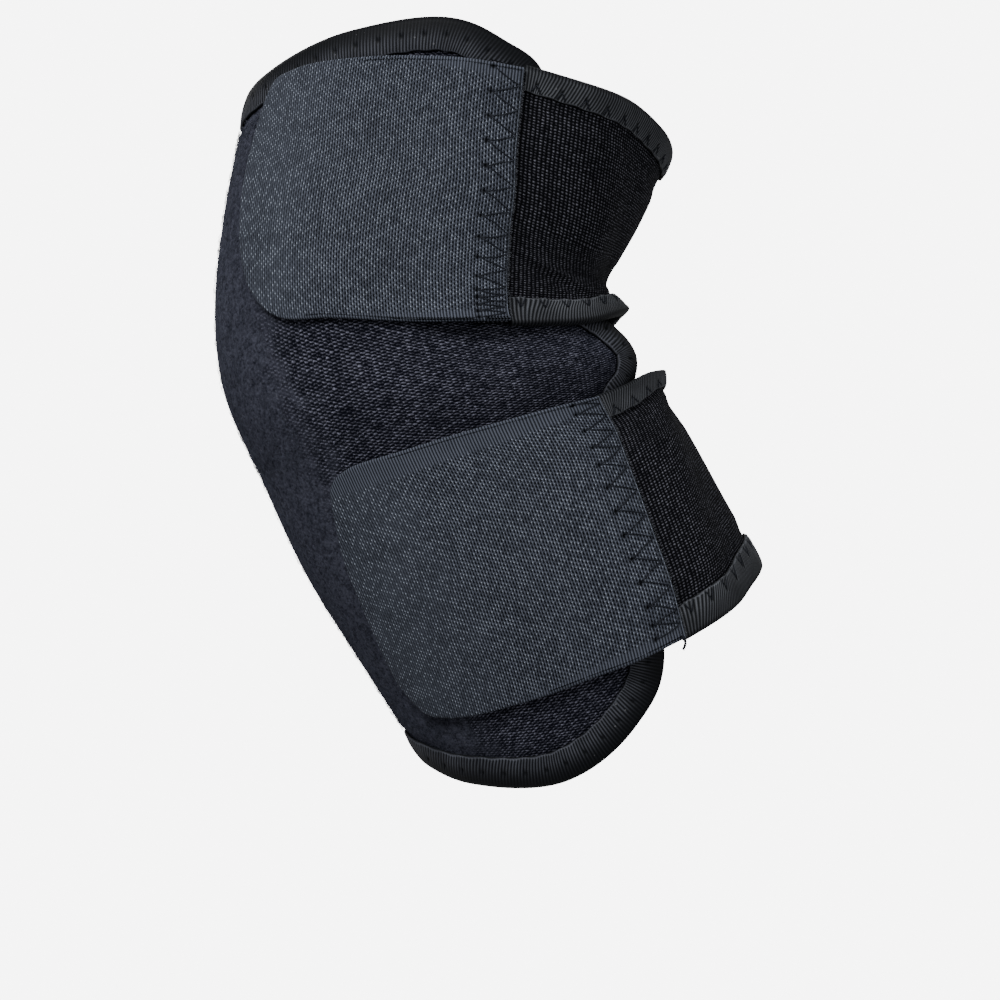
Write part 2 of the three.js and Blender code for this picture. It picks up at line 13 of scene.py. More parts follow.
import bpy
import numpy as np
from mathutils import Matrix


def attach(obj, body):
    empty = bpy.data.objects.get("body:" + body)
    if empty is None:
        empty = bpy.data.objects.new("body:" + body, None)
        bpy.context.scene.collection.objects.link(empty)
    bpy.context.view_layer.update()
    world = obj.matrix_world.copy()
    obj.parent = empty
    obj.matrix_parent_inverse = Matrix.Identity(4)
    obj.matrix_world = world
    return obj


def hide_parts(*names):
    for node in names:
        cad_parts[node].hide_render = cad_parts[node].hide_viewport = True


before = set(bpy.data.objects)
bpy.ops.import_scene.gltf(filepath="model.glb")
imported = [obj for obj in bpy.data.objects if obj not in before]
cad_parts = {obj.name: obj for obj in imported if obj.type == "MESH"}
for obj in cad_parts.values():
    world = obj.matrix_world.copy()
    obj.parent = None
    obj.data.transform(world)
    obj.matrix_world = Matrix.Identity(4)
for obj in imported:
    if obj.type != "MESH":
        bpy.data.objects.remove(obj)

LOG = logging.getLogger("elbow_brace")
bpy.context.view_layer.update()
MM = 0.001
Array = np.ndarray


# The arm form


@dataclass(frozen=True)
class ColumnTable:
    """Rows of numbers with a smooth curve through each column."""

    keys: tuple[float, ...]
    columns: dict[str, tuple[float, ...]]

    def at(self, column: str, x: Array) -> Array:
        """Read a column, going straight on past the table's ends.

        Args:
            column: The column's name.
            x: Where to read it, in the units of the keys.

        Returns:
            The column's values at x.
        """
        k = np.asarray(self.keys)
        v = np.asarray(self.columns[column])
        x = np.asarray(x, dtype=float)
        before = np.maximum(np.arange(len(k)) - 1, 0)
        after = np.minimum(np.arange(len(k)) + 1, len(k) - 1)
        slope = (v[after] - v[before]) / (k[after] - k[before])
        i = np.clip(np.searchsorted(k, x, side="right") - 1, 0, len(k) - 2)
        span = k[i + 1] - k[i]
        t = np.clip((x - k[i]) / span, 0, 1)
        inside = (
            v[i] * (1 + 2 * t) * (1 - t) ** 2
            + v[i + 1] * t * t * (3 - 2 * t)
            + span * (slope[i] * t * (1 - t) ** 2 + slope[i + 1] * t * t * (t - 1))
        )
        low = np.minimum(x - k[0], 0) * slope[0]
        high = np.maximum(x - k[-1], 0) * slope[-1]
        return inside + low + high


ARM_SECTIONS = ColumnTable(
    keys=(-1.0, -0.87, -0.61, -0.39, -0.175, -0.035, 0.09, 0.255, 0.5, 0.755, 1.0),
    columns={
        "back": (0.28, 0.325, 0.36, 0.388, 0.425, 0.48, 0.493, 0.492, 0.497, 0.5, 0.51),
        "front": (0.6, 0.574, 0.553, 0.541, 0.51, 0.5, 0.445, 0.402, 0.452, 0.5, 0.56),
        "width": (0.9, 0.92, 1.0, 1.03, 1.02, 1.0, 0.985, 0.975, 1.0, 1.04, 1.09),
    },
)


@dataclass(frozen=True)
class Fold:
    """A soft roll or hollow of the worn cloth, in degrees around and millimetres along."""

    around: float
    along: float
    spread: float
    run: float
    height: float
    lean: float = 0.0

    def height_at(self, around: Array, along: Array) -> Array:
        """Height of the fold at places.

        Args:
            around: Radians around the arm.
            along: Millimetres along it.

        Returns:
            Height of the fold in millimetres.
        """
        turned = (np.degrees(around) - self.around + 180) % 360 - 180
        place = along - self.along - self.lean * turned
        return self.height * np.exp(-((turned / self.spread) ** 2) - (place / self.run) ** 2)


@dataclass(frozen=True)
class ArmForm:
    """The bent arm that the brace is shaped on, in millimetres."""

    depth: float = 102.0
    width: float = 79.0
    bend: float = math.radians(40)
    bend_radius: float = 116.0
    bend_above: float = 0.42
    upper_lean: float = math.radians(13.5)
    upper_reach: float = 90.0
    forearm_reach: float = 115.0
    crease_fullness: float = 0.08
    folds: tuple[Fold, ...] = (
        Fold(around=46, along=-9.9, spread=30, run=10.45, height=2.24),
        Fold(around=-50, along=-9.9, spread=28, run=10.45, height=1.92),
        Fold(around=98, along=-12.0, spread=46, run=9.5, height=2.9),
        Fold(around=-98, along=-10.0, spread=46, run=9.5, height=1.5),
        Fold(around=47, along=20.0, spread=12, run=2.6, height=0.75, lean=0.6),
        Fold(around=45, along=14.5, spread=12, run=2.4, height=-0.6, lean=0.5),
    )

    def skin(self, around: Array, along: Array) -> Array:
        """Points of the bare skin, in millimetres.

        Args:
            around: Radians around the arm.
            along: Millimetres along it.

        Returns:
            The points as (..., 3).
        """
        around, along = np.broadcast_arrays(np.asarray(around, float), np.asarray(along, float))
        top = self.bend_above * self.bend * self.bend_radius
        on_arc = np.clip(along, top - self.bend * self.bend_radius, top)
        first = self.bend_above * self.bend - self.upper_lean
        tilt = first - on_arc / self.bend_radius
        share = along / np.where(along < 0, self.forearm_reach, self.upper_reach)
        back = ARM_SECTIONS.at("back", share) * self.depth
        front = ARM_SECTIONS.at("front", share) * self.depth
        half = ARM_SECTIONS.at("width", share) * self.width / 2
        c = np.cos(around)
        out = (front - back) / 2 + (front + back) / 2 * c
        rest = along - on_arc
        x = self.bend_radius * (math.cos(first) - np.cos(tilt)) + np.cos(tilt) * out - np.sin(tilt) * rest
        z = self.bend_radius * (math.sin(first) - np.sin(tilt)) + np.sin(tilt) * out + np.cos(tilt) * rest
        y = -half * np.sin(around) * (1 + self.crease_fullness * c)
        return np.stack([x, y, z], axis=-1)

    def directions(self, around: Array, along: Array) -> tuple[Array, Array, Array]:
        """Skin directions at places.

        Args:
            around: Radians around the arm.
            along: Millimetres along it.

        Returns:
            The way around for one radian, the way along for one millimetre, and the outward normal.
        """
        turn, step = 1e-3, 0.05
        a = (self.skin(around + turn, along) - self.skin(around - turn, along)) / (2 * turn)
        b = (self.skin(around, along + step) - self.skin(around, along - step)) / (2 * step)
        normal = np.cross(b, a)
        return a, b, normal / np.linalg.norm(normal, axis=-1, keepdims=True)

    def arc(self, around: Array, along: Array) -> Array:
        """Millimetres on the skin for one radian around."""
        return np.linalg.norm(self.directions(around, along)[0], axis=-1)

    def above(self, place: Array, height: Array) -> Array:
        """Points at a height over the folded skin.

        Args:
            place: Places as (..., 2), around and along.
            height: Height over the skin in millimetres.

        Returns:
            Points in millimetres.
        """
        around, along = place[..., 0], place[..., 1]
        lift = height + sum(f.height_at(around, along) for f in self.folds)
        return self.skin(around, along) + self.directions(around, along)[2] * lift[..., None]

    def aside(self, place: Array, heading: Array, across: Array) -> Array:
        """Places that lie to the left of a heading on the skin.

        Args:
            place: Places as (n, 2).
            heading: Headings in space as (n, 3).
            across: Millimetres to the left, as (n,).

        Returns:
            The new places.
        """
        a, b, normal = self.directions(place[..., 0], place[..., 1])
        way = np.cross(normal, heading)
        way *= (across / np.linalg.norm(way, axis=-1))[..., None]
        aa, ab, bb = (a * a).sum(-1), (a * b).sum(-1), (b * b).sum(-1)
        wa, wb = (way * a).sum(-1), (way * b).sum(-1)
        det = aa * bb - ab * ab
        return place + np.stack([(wa * bb - wb * ab) / det, (wb * aa - wa * ab) / det], axis=-1)


ARM = ArmForm()


class PlaceCurve:
    """A smooth curve through places, whose parameter counts them."""

    def __init__(self, places: list[tuple[float, float]], closed: bool) -> None:
        """Keep the places, with lengths along the arm scaled to the bend's radius."""
        self.points = np.array([(a, s / ARM.bend_radius) for a, s in places])
        self.closed = closed

    def at(self, t: Array) -> Array:
        """Places on the curve.

        Args:
            t: Parameters, where a whole number is one of the places.

        Returns:
            The places as (n, 2).
        """
        p, n = self.points, len(self.points)
        t = np.asarray(t, float)
        if self.closed:
            t = t % n
            i = np.floor(t).astype(int)
            quad = [p[(i + k) % n] for k in (-1, 0, 1, 2)]
        else:
            i = np.clip(np.floor(t).astype(int), 0, n - 2)
            ends = np.vstack([2 * p[0] - p[1], p, 2 * p[-1] - p[-2]])
            quad = [ends[i + 1 + k] for k in (-1, 0, 1, 2)]
        w = (t - i)[:, None]
        gaps = [np.linalg.norm(quad[k + 1] - quad[k], axis=1)[:, None] ** 0.5 for k in range(3)]
        d0, d1, d2 = gaps
        p0, p1, p2, p3 = quad
        m1 = ((p1 - p0) / d0 - (p2 - p0) / (d0 + d1) + (p2 - p1) / d1) * d1
        m2 = ((p2 - p1) / d1 - (p3 - p1) / (d1 + d2) + (p3 - p2) / d2) * d1
        out = p1 + m1 * w + (3 * (p2 - p1) - 2 * m1 - m2) * w**2 + (2 * (p1 - p2) + m1 + m2) * w**3
        return out * np.array([1.0, ARM.bend_radius])


CURVE_SAMPLES = 1200


def even_places(curve: PlaceCurve, start: float, stop: float, cells: int) -> Array:
    """Places along a curve, evenly spaced on the skin, both ends included."""
    return evenly(curve.at(np.linspace(start, stop, CURVE_SAMPLES)), cells)


def lengths_along(points: Array) -> Array:
    """Lengths along a line of points in space, from 0 at the first."""
    return np.concatenate([[0], np.cumsum(np.linalg.norm(np.diff(points, axis=0), axis=1))])


def evenly(places: Array, cells: int) -> Array:
    """Respace a line of places evenly on the skin.

    Args:
        places: The line's places as (n, 2).
        cells: How many equal steps to cut it into.

    Returns:
        The new places, one more than the cells.
    """
    reached = lengths_along(ARM.skin(places[:, 0], places[:, 1]))
    wanted = np.linspace(0, reached[-1], cells + 1)
    return np.stack([np.interp(wanted, reached, places[:, k]) for k in (0, 1)], axis=-1)


@dataclass
class Sides:
    """Four sides of a piece, with the piece on the left of bottom, end, top and start in turn."""

    bottom: Array
    end: Array
    top: Array
    start: Array

    def outline(self) -> Array:
        """The closed outline."""
        return np.concatenate([self.bottom[:-1], self.end[:-1], self.top[:0:-1], self.start[:0:-1]])

    def from_outside(self) -> "Sides":
        """The same piece with its sides turned the other way round the arm."""
        return Sides(self.bottom[::-1], self.start, self.top[::-1], self.end)

    def grid(self) -> Array:
        """Places inside the four sides, as (columns, rows, 2).

        Returns:
            The places, along bottom and then along start.
        """
        u = np.linspace(0, 1, len(self.bottom))[:, None, None]
        v = np.linspace(0, 1, len(self.start))[None, :, None]
        ruled = self.bottom[:, None] * (1 - v) + self.top[:, None] * v
        crossed = self.start[None] * (1 - u) + self.end[None] * u
        low = self.bottom[0] * (1 - u) + self.bottom[-1] * u
        high = self.top[0] * (1 - u) + self.top[-1] * u
        return ruled + crossed - (low * (1 - v) + high * v)

    @staticmethod
    def of_ring(ring: Array, across: int, along: int) -> "Sides":
        """Cut an outline's ring back into its four sides.

        Args:
            ring: The outline's places.
            across: Cells along bottom and top.
            along: Cells along start and end.

        Returns:
            The four sides.
        """
        closed = np.concatenate([ring, ring[:1]])
        return Sides(
            bottom=closed[: across + 1],
            end=closed[across : across + along + 1],
            top=closed[across + along : 2 * across + along + 1][::-1],
            start=closed[2 * across + along :][::-1],
        )


def headings(places: Array) -> tuple[Array, Array]:
    """Headings of a closed outline and the mitre that keeps a step aside parallel to it.

    Args:
        places: The outline's places as (n, 2).

    Returns:
        Headings in space as (n, 3), and mitres as (n,).
    """
    spots = ARM.skin(places[:, 0], places[:, 1])
    leaving = np.roll(spots, -1, axis=0) - spots
    leaving /= np.linalg.norm(leaving, axis=1, keepdims=True)
    arriving = np.roll(leaving, 1, axis=0)
    mitre = np.sqrt(2 / (1 + (arriving * leaving).sum(1)))
    return arriving + leaving, mitre


def inset(places: Array, distance: float) -> Array:
    """An outline stepped inwards on the skin."""
    way, mitre = headings(places)
    return ARM.aside(places, way, distance * mitre)


def smoothstep(x: Array, low: float, high: float) -> Array:
    """A smooth rise from 0 at low to 1 at high."""
    t = np.clip((x - low) / (high - low), 0, 1)
    return t * t * (3 - 2 * t)


# Sizes of the cut


@dataclass(frozen=True)
class Cut:
    """Gauges and widths of the cloth, in millimetres."""

    panel_thick: float = 3.2
    panel_rim: float = 1.7
    strap_thick: float = 2.6
    strap_rim: float = 1.2
    tab_thick: float = 1.1
    tape_thick: float = 0.5
    tape_cover: float = 7.5
    gap: float = 0.3
    layer_gap: float = 0.7
    strap_width: float = 66.0
    strap_spacing: float = 27.5
    spacing_middle: float = -10.75
    upper_overhang: float = 7.0
    lower_overhang: float = 18.0
    tab_lap: float = 7.2
    tab_flat: float = 2.0
    tab_settle: float = 14.0
    lift_run: float = 19.0
    lift_lead: float = 9.0

    @property
    def build(self) -> float:
        """What a folded tape adds on each face."""
        return self.tape_thick + self.gap

    @property
    def seat(self) -> float:
        """Height of a strap that lies on the bound panel."""
        return max(self.panel_thick, self.panel_rim + 2 * self.build) + self.layer_gap

    @property
    def upper_inner(self) -> float:
        """Place along the arm of the upper strap's inner edge."""
        return self.spacing_middle + self.strap_spacing / 2

    @property
    def lower_inner(self) -> float:
        """Place along the arm of the lower strap's inner edge."""
        return self.spacing_middle - self.strap_spacing / 2

    @property
    def panel_up(self) -> float:
        """Reach of the panel above the origin."""
        return self.upper_inner + self.strap_width + self.upper_overhang

    @property
    def panel_down(self) -> float:
        """Reach of the panel below the origin."""
        return -(self.lower_inner - self.strap_width - self.lower_overhang)


CUT = Cut()

PANEL_EDGE = (
    (28, -0.08), (31, 0.03), (43, 0.22), (62, 0.66), (71.5, 0.9), (84, 0.97), (98, 1.0), (124, 0.905),
    (159, 0.73), (190, 0.66), (225, 0.74), (262, 0.835), (285, 0.77), (298, 0.42), (318, -0.08),
    (303, -0.45), (287, -0.76), (262, -0.815), (215, -0.81), (172, -0.85), (147, -0.925), (117, -1.0),
    (90, -0.957), (73, -0.86), (58, -0.6), (42, -0.3), (31, -0.185),
)
PANEL_CORNERS = {"near_top": 4.4, "far_top": 12, "far_bottom": 16, "near_bottom": 23}


class PanelOutline:
    """The panel's closed edge on the arm form."""

    def __init__(self) -> None:
        """Lay the curve through the table's places."""
        self.curve = PlaceCurve([(math.radians(a), self._reach(s)) for a, s in PANEL_EDGE], closed=True)
        corners, cells = PANEL_CORNERS, 120
        near = even_places(self.curve, corners["near_bottom"], corners["near_top"] + len(PANEL_EDGE), cells)
        far = even_places(self.curve, corners["far_bottom"], corners["far_top"], cells)
        self.near = near[np.argsort(near[:, 1])]
        self.far = far[np.argsort(far[:, 1])] - np.array([2 * math.pi, 0])

    @staticmethod
    def _reach(share: float) -> float:
        """Millimetres along the arm for a share of the panel's reach."""
        return share * (CUT.panel_down if share < 0 else CUT.panel_up)

    def sides(self, across: int, along: int) -> Sides:
        """The four sides, cut into cells.

        Args:
            across: Cells round the arm.
            along: Cells along the arm.

        Returns:
            The four sides, turned to face outwards.
        """
        c, rows = PANEL_CORNERS, len(PANEL_EDGE)
        return Sides(
            bottom=even_places(self.curve, c["near_bottom"], c["far_bottom"], across),
            end=even_places(self.curve, c["far_bottom"], c["far_top"], along),
            top=even_places(self.curve, c["near_top"], c["far_top"], across),
            start=even_places(self.curve, c["near_bottom"], c["near_top"] + rows, along),
        ).from_outside()

    def strap_base(self, place: Array) -> Array:
        """Height at which a strap lies: on the skin in front, lifted onto the panel beside it.

        Args:
            place: Places as (..., 2).

        Returns:
            Heights over the skin in millimetres.
        """
        around, along = place[..., 0], place[..., 1]
        arc = ARM.arc(around, along)
        lead, run = CUT.lift_lead, CUT.lift_run
        near = (around - np.interp(along, self.near[:, 1], self.near[:, 0])) * arc
        far = (np.interp(along, self.far[:, 1], self.far[:, 0]) - around) * arc
        past = np.maximum(near, far)
        return CUT.seat * smoothstep(past, -(lead + run), -lead)


OUTLINE = PanelOutline()


# Meshes


@dataclass
class Cloth:
    """A closed cloth mesh in the making."""

    name: str
    points: list[Array] = field(default_factory=list)
    faces: list[Array] = field(default_factory=list)
    cloth_uv: list[Array] = field(default_factory=list)
    masks: dict[str, list[Array]] = field(default_factory=dict)

    def add(self, points: Array, uv: Array | None = None, **masks: Array) -> Array:
        """Add points in millimetres.

        Args:
            points: The points, in any layout that ends in three coordinates.
            uv: Cloth coordinates in millimetres, or none.
            **masks: Values from 0 to 1 by the mask's name.

        Returns:
            The points' indices, in the points' own layout.
        """
        shape = points.shape[:-1]
        count = int(np.prod(shape))
        start = sum(len(p) for p in self.points)
        self.points.append(points.reshape(-1, 3))
        flat = np.zeros((count, 2)) if uv is None else np.broadcast_to(uv, shape + (2,)).reshape(-1, 2)
        self.cloth_uv.append(flat)
        for key in set(self.masks) | set(masks):
            row = self.masks.setdefault(key, [np.zeros(start)] if start else [])
            row.append(np.broadcast_to(masks.get(key, np.zeros(())), shape).reshape(-1).astype(float))
        return np.arange(start, start + count).reshape(shape)

    def quads(self, a: Array, b: Array, c: Array, d: Array) -> None:
        """Add faces from four equal arrays of indices."""
        self.faces.append(np.stack([a, b, c, d], axis=-1).reshape(-1, 4))

    def strip(self, low: Array, high: Array, closed: bool) -> None:
        """Join two lines of indices, high lying to the left of low seen from outside.

        Args:
            low: Indices of the one line.
            high: Indices of the other.
            closed: Whether the lines close on themselves.
        """
        if closed:
            low, high = np.append(low, low[0]), np.append(high, high[0])
        self.quads(low[:-1], low[1:], high[1:], high[:-1])

    def mesh_object(self, material: bpy.types.Material) -> bpy.types.Object:
        """Make the Blender object, smooth shaded, with its UV map in metres and its masks.

        Args:
            material: The piece's finish.

        Returns:
            The object, linked to the scene.
        """
        points = np.concatenate(self.points) * MM
        faces = np.concatenate(self.faces)
        same = (faces[:, 2] == faces[:, 3]) | (faces[:, 0] == faces[:, 3])
        mesh = bpy.data.meshes.new(self.name)
        polygons = [tuple(f) if not s else tuple(dict.fromkeys(f)) for f, s in zip(faces.tolist(), same)]
        mesh.from_pydata(points.tolist(), [], polygons)
        uv = np.concatenate(self.cloth_uv) * MM
        corners = np.empty(len(mesh.loops), dtype=np.int32)
        mesh.loops.foreach_get("vertex_index", corners)
        layer = mesh.uv_layers.new(name="Cloth")
        layer.uv.foreach_set("vector", uv[corners].astype(np.float32).ravel())
        for key, rows in self.masks.items():
            data = mesh.attributes.new(key, "FLOAT", "POINT")
            data.data.foreach_set("value", np.concatenate(rows).astype(np.float32))
        mesh.shade_smooth()
        mesh.materials.append(material)
        mesh.update()
        thing = bpy.data.objects.new(self.name, mesh)
        bpy.context.scene.collection.objects.link(thing)
        return thing


Layer = tuple[Array, Array, Array]
Dresser = Callable[[Array], tuple[Array, dict[str, Array]]]


def slab(cloth: Cloth, rings: list[Layer], grid: Layer, dress: Dresser) -> None:
    """Add a closed slab: borders stepped inwards to a grid, with an inner and an outer face.

    Args:
        cloth: The mesh to add to.
        rings: Borders from the edge inwards, each its places and the heights of both faces. The last
            border is the grid's own outline and isn't listed.
        grid: The places inside and the heights of both faces.
        dress: Turns places into cloth coordinates in millimetres and masks.
    """
    places, low, high = grid
    layers = []
    for face, height in (("inner", low), ("outer", high)):
        uv, masks = dress(places)
        index = cloth.add(ARM.above(places, height), uv, **masks)
        edge = np.concatenate([index[:-1, 0], index[-1, :-1], index[:0:-1, -1], index[0, :0:-1]])
        lines = []
        for ring, inner, outer in rings:
            uv, masks = dress(ring)
            lines.append(cloth.add(ARM.above(ring, inner if face == "inner" else outer), uv, **masks))
        lines.append(edge)
        a, b, c, d = index[:-1, :-1], index[1:, :-1], index[1:, 1:], index[:-1, 1:]
        if face == "outer":
            cloth.quads(a, b, c, d)
            for one, two in zip(lines, lines[1:]):
                cloth.strip(one, two, closed=True)
        else:
            cloth.quads(a, d, c, b)
            for one, two in zip(lines, lines[1:]):
                cloth.strip(two, one, closed=True)
        layers.append(lines[0])
    cloth.strip(layers[0], layers[1], closed=True)


# Finishes


FLOAT, VECTOR = "NodeSocketFloat", "NodeSocketVector"
Colour = tuple[float, float, float]
Socket = bpy.types.NodeSocket
Value = float | bpy.types.NodeSocket


class Finish:
    """A material with its node tree and its shader."""

    def __init__(self, name: str, roughness: float, gloss: float, sheen: float = 0.0) -> None:
        """Make the material with its shader and output.

        Args:
            name: The material's name.
            roughness: The roughness, the same all over.
            gloss: The specular level, low for cloth whose fibres swallow the light.
            sheen: How strongly loose fibres catch the light at grazing angles.
        """
        self.material = bpy.data.materials.new(name)
        self.material.use_nodes = True
        self.tree = self.material.node_tree
        self.tree.nodes.clear()
        self.shader = self.tree.nodes.new("ShaderNodeBsdfPrincipled")
        self.shader.inputs["Roughness"].default_value = roughness
        self.shader.inputs["Specular IOR Level"].default_value = gloss
        self.shader.inputs["Sheen Weight"].default_value = sheen
        self.shader.inputs["Sheen Roughness"].default_value = 0.5
        out = self.tree.nodes.new("ShaderNodeOutputMaterial")
        self.tree.links.new(self.shader.outputs["BSDF"], out.inputs["Surface"])

    def colour(self, socket: Socket) -> None:
        """Feed the base colour."""
        self.tree.links.new(socket, self.shader.inputs["Base Color"])

    def relief(self, height: Socket, strength: float, distance: float) -> None:
        """Feed the normal from a height, with the bump's depth in metres."""
        sockets = {"Strength": strength, "Distance": distance, "Height": height}
        bump = node(self.tree, "ShaderNodeBump", sockets)
        self.tree.links.new(bump.outputs[0], self.shader.inputs["Normal"])

    def mask(self, name: str) -> Socket:
        """Read one of the mesh's masks."""
        return node(self.tree, "ShaderNodeAttribute", {}, attribute_name=name).outputs["Fac"]


def node(tree: bpy.types.NodeTree, kind: str, sockets: dict, **settings: object) -> bpy.types.Node:
    """Place a node.

    Args:
        tree: The node tree.
        kind: The node's type name.
        sockets: Input values, or output sockets to link, by name or number.
        **settings: The node's own options.

    Returns:
        The node.
    """
    made = tree.nodes.new(kind)
    for key, value in settings.items():
        setattr(made, key, value)
    for key, value in sockets.items():
        if isinstance(value, Socket):
            tree.links.new(value, made.inputs[key])
        else:
            made.inputs[key].default_value = value
    return made


def maths(tree: bpy.types.NodeTree, operation: str, *values: Value) -> Socket:
    """A math node's result on numbers or sockets."""
    return node(tree, "ShaderNodeMath", dict(enumerate(values)), operation=operation).outputs[0]


def vectors(tree: bpy.types.NodeTree, operation: str, sockets: dict) -> Socket:
    """A vector math node's result, with its inputs by number."""
    return node(tree, "ShaderNodeVectorMath", sockets, operation=operation).outputs[0]


def ramp(tree: bpy.types.NodeTree, value: Value, low: float, high: float) -> Socket:
    """A smooth rise of a value from 0 at low to 1 at high."""
    made = node(tree, "ShaderNodeMapRange", {0: value, 1: low, 2: high}, interpolation_type="SMOOTHSTEP")
    return made.outputs[0]


def blend(tree: bpy.types.NodeTree, share: Value, one: Value, two: Value) -> Socket:
    """Mix two numbers by a share."""
    return node(tree, "ShaderNodeMix", {0: share, 2: one, 3: two}, data_type="FLOAT").outputs[0]


def mix(tree: bpy.types.NodeTree, share: Value, one: Colour | Socket, two: Colour | Socket) -> Socket:
    """Mix two colours by a share.

    Args:
        tree: The node tree.
        share: How much of the second colour shows.
        one: The first colour.
        two: The second colour.

    Returns:
        The mixed colour's socket.
    """
    made = tree.nodes.new("ShaderNodeMix")
    made.data_type = "RGBA"
    for key, value in ((0, share), (6, one), (7, two)):
        if isinstance(value, Socket):
            tree.links.new(value, made.inputs[key])
        else:
            made.inputs[key].default_value = (*value, 1.0) if isinstance(value, tuple) else value
    return made.outputs[2]


def group_tree(
    name: str, inputs: dict[str, tuple[str, float | None]], outputs: dict[str, str]
) -> tuple[bpy.types.NodeTree, bpy.types.Node, bpy.types.Node]:
    """Start a shader node group.

    Args:
        name: The group's name.
        inputs: Socket types and default values by name.
        outputs: Socket types by name.

    Returns:
        The tree, its input node and its output node.
    """
    tree = bpy.data.node_groups.new(name, "ShaderNodeTree")
    for key, (kind, default) in inputs.items():
        made = tree.interface.new_socket(name=key, in_out="INPUT", socket_type=kind)
        if default is not None:
            made.default_value = default
    for key, kind in outputs.items():
        tree.interface.new_socket(name=key, in_out="OUTPUT", socket_type=kind)
    return tree, tree.nodes.new("NodeGroupInput"), tree.nodes.new("NodeGroupOutput")


class CellWeave:
    """Node group: columns of raised stitches and the rungs between them, with their drift."""

    def __init__(self) -> None:
        """Build the group once."""
        tree, given, out = group_tree(
            "cell_weave",
            {
                "Cloth": (VECTOR, None),
                "Pitch Around": (FLOAT, 1.0),
                "Pitch Along": (FLOAT, 0.7),
                "Stagger": (FLOAT, 0.0),
                "Drift": (FLOAT, 0.15),
                "Drift Scale": (FLOAT, 0.4),
            },
            {"Dots": FLOAT, "Wales": FLOAT, "Rungs": FLOAT, "Cell": FLOAT},
        )
        self.tree = tree
        mm = vectors(tree, "SCALE", {0: given.outputs["Cloth"], 3: 1 / MM})
        sockets = {"Vector": mm, "Scale": given.outputs["Drift Scale"], "Detail": 3.0}
        noise = node(tree, "ShaderNodeTexNoise", sockets, noise_dimensions="2D")
        middle = vectors(tree, "SUBTRACT", {0: noise.outputs["Color"], 1: (0.5, 0.5, 0.5)})
        drift = vectors(tree, "SCALE", {0: middle, 3: given.outputs["Drift"]})
        axes = node(tree, "ShaderNodeSeparateXYZ", {0: vectors(tree, "ADD", {0: mm, 1: drift})})
        column = maths(tree, "DIVIDE", axes.outputs[0], given.outputs["Pitch Around"])
        odd = maths(tree, "FLOORED_MODULO", maths(tree, "FLOOR", column), 2.0)
        shift = maths(tree, "MULTIPLY", odd, given.outputs["Stagger"])
        level = maths(tree, "DIVIDE", axes.outputs[1], given.outputs["Pitch Along"])
        row = maths(tree, "ADD", level, shift)
        hill_u = self._hill(column)
        dots = maths(tree, "MULTIPLY", hill_u, self._hill(row))
        between = maths(tree, "FLOORED_MODULO", maths(tree, "FLOOR", maths(tree, "ADD", column, 0.5)), 2.0)
        step = maths(tree, "MULTIPLY_ADD", between, given.outputs["Stagger"], level)
        rungs = maths(tree, "MULTIPLY", maths(tree, "SUBTRACT", 1.0, hill_u), self._hill(step))
        corner = {0: maths(tree, "FLOOR", column), 1: maths(tree, "FLOOR", row)}
        spot = node(tree, "ShaderNodeCombineXYZ", corner)
        cell = node(tree, "ShaderNodeTexWhiteNoise", {"Vector": spot.outputs[0]}, noise_dimensions="2D")
        found = {"Dots": dots, "Wales": hill_u, "Rungs": rungs, "Cell": cell.outputs["Value"]}
        for key, socket in found.items():
            tree.links.new(socket, out.inputs[key])

    def _hill(self, phase: Socket) -> Socket:
        """A smooth hill from 0 at whole numbers to 1 between them."""
        turned = maths(self.tree, "MULTIPLY", phase, 2 * math.pi)
        return maths(self.tree, "MULTIPLY_ADD", maths(self.tree, "COSINE", turned), -0.5, 0.5)

    def place(self, tree: bpy.types.NodeTree, **values: float) -> bpy.types.Node:
        """Place the group in a material on its cloth coordinates.

        Args:
            tree: The material's node tree.
            **values: The group's own inputs, by name in lower case.

        Returns:
            The group's node.
        """
        made = tree.nodes.new("ShaderNodeGroup")
        made.node_tree = self.tree
        coords = node(tree, "ShaderNodeUVMap", {}, uv_map="Cloth")
        tree.links.new(coords.outputs[0], made.inputs["Cloth"])
        for key, value in values.items():
            made.inputs[key.replace("_", " ").title()].default_value = value
        return made


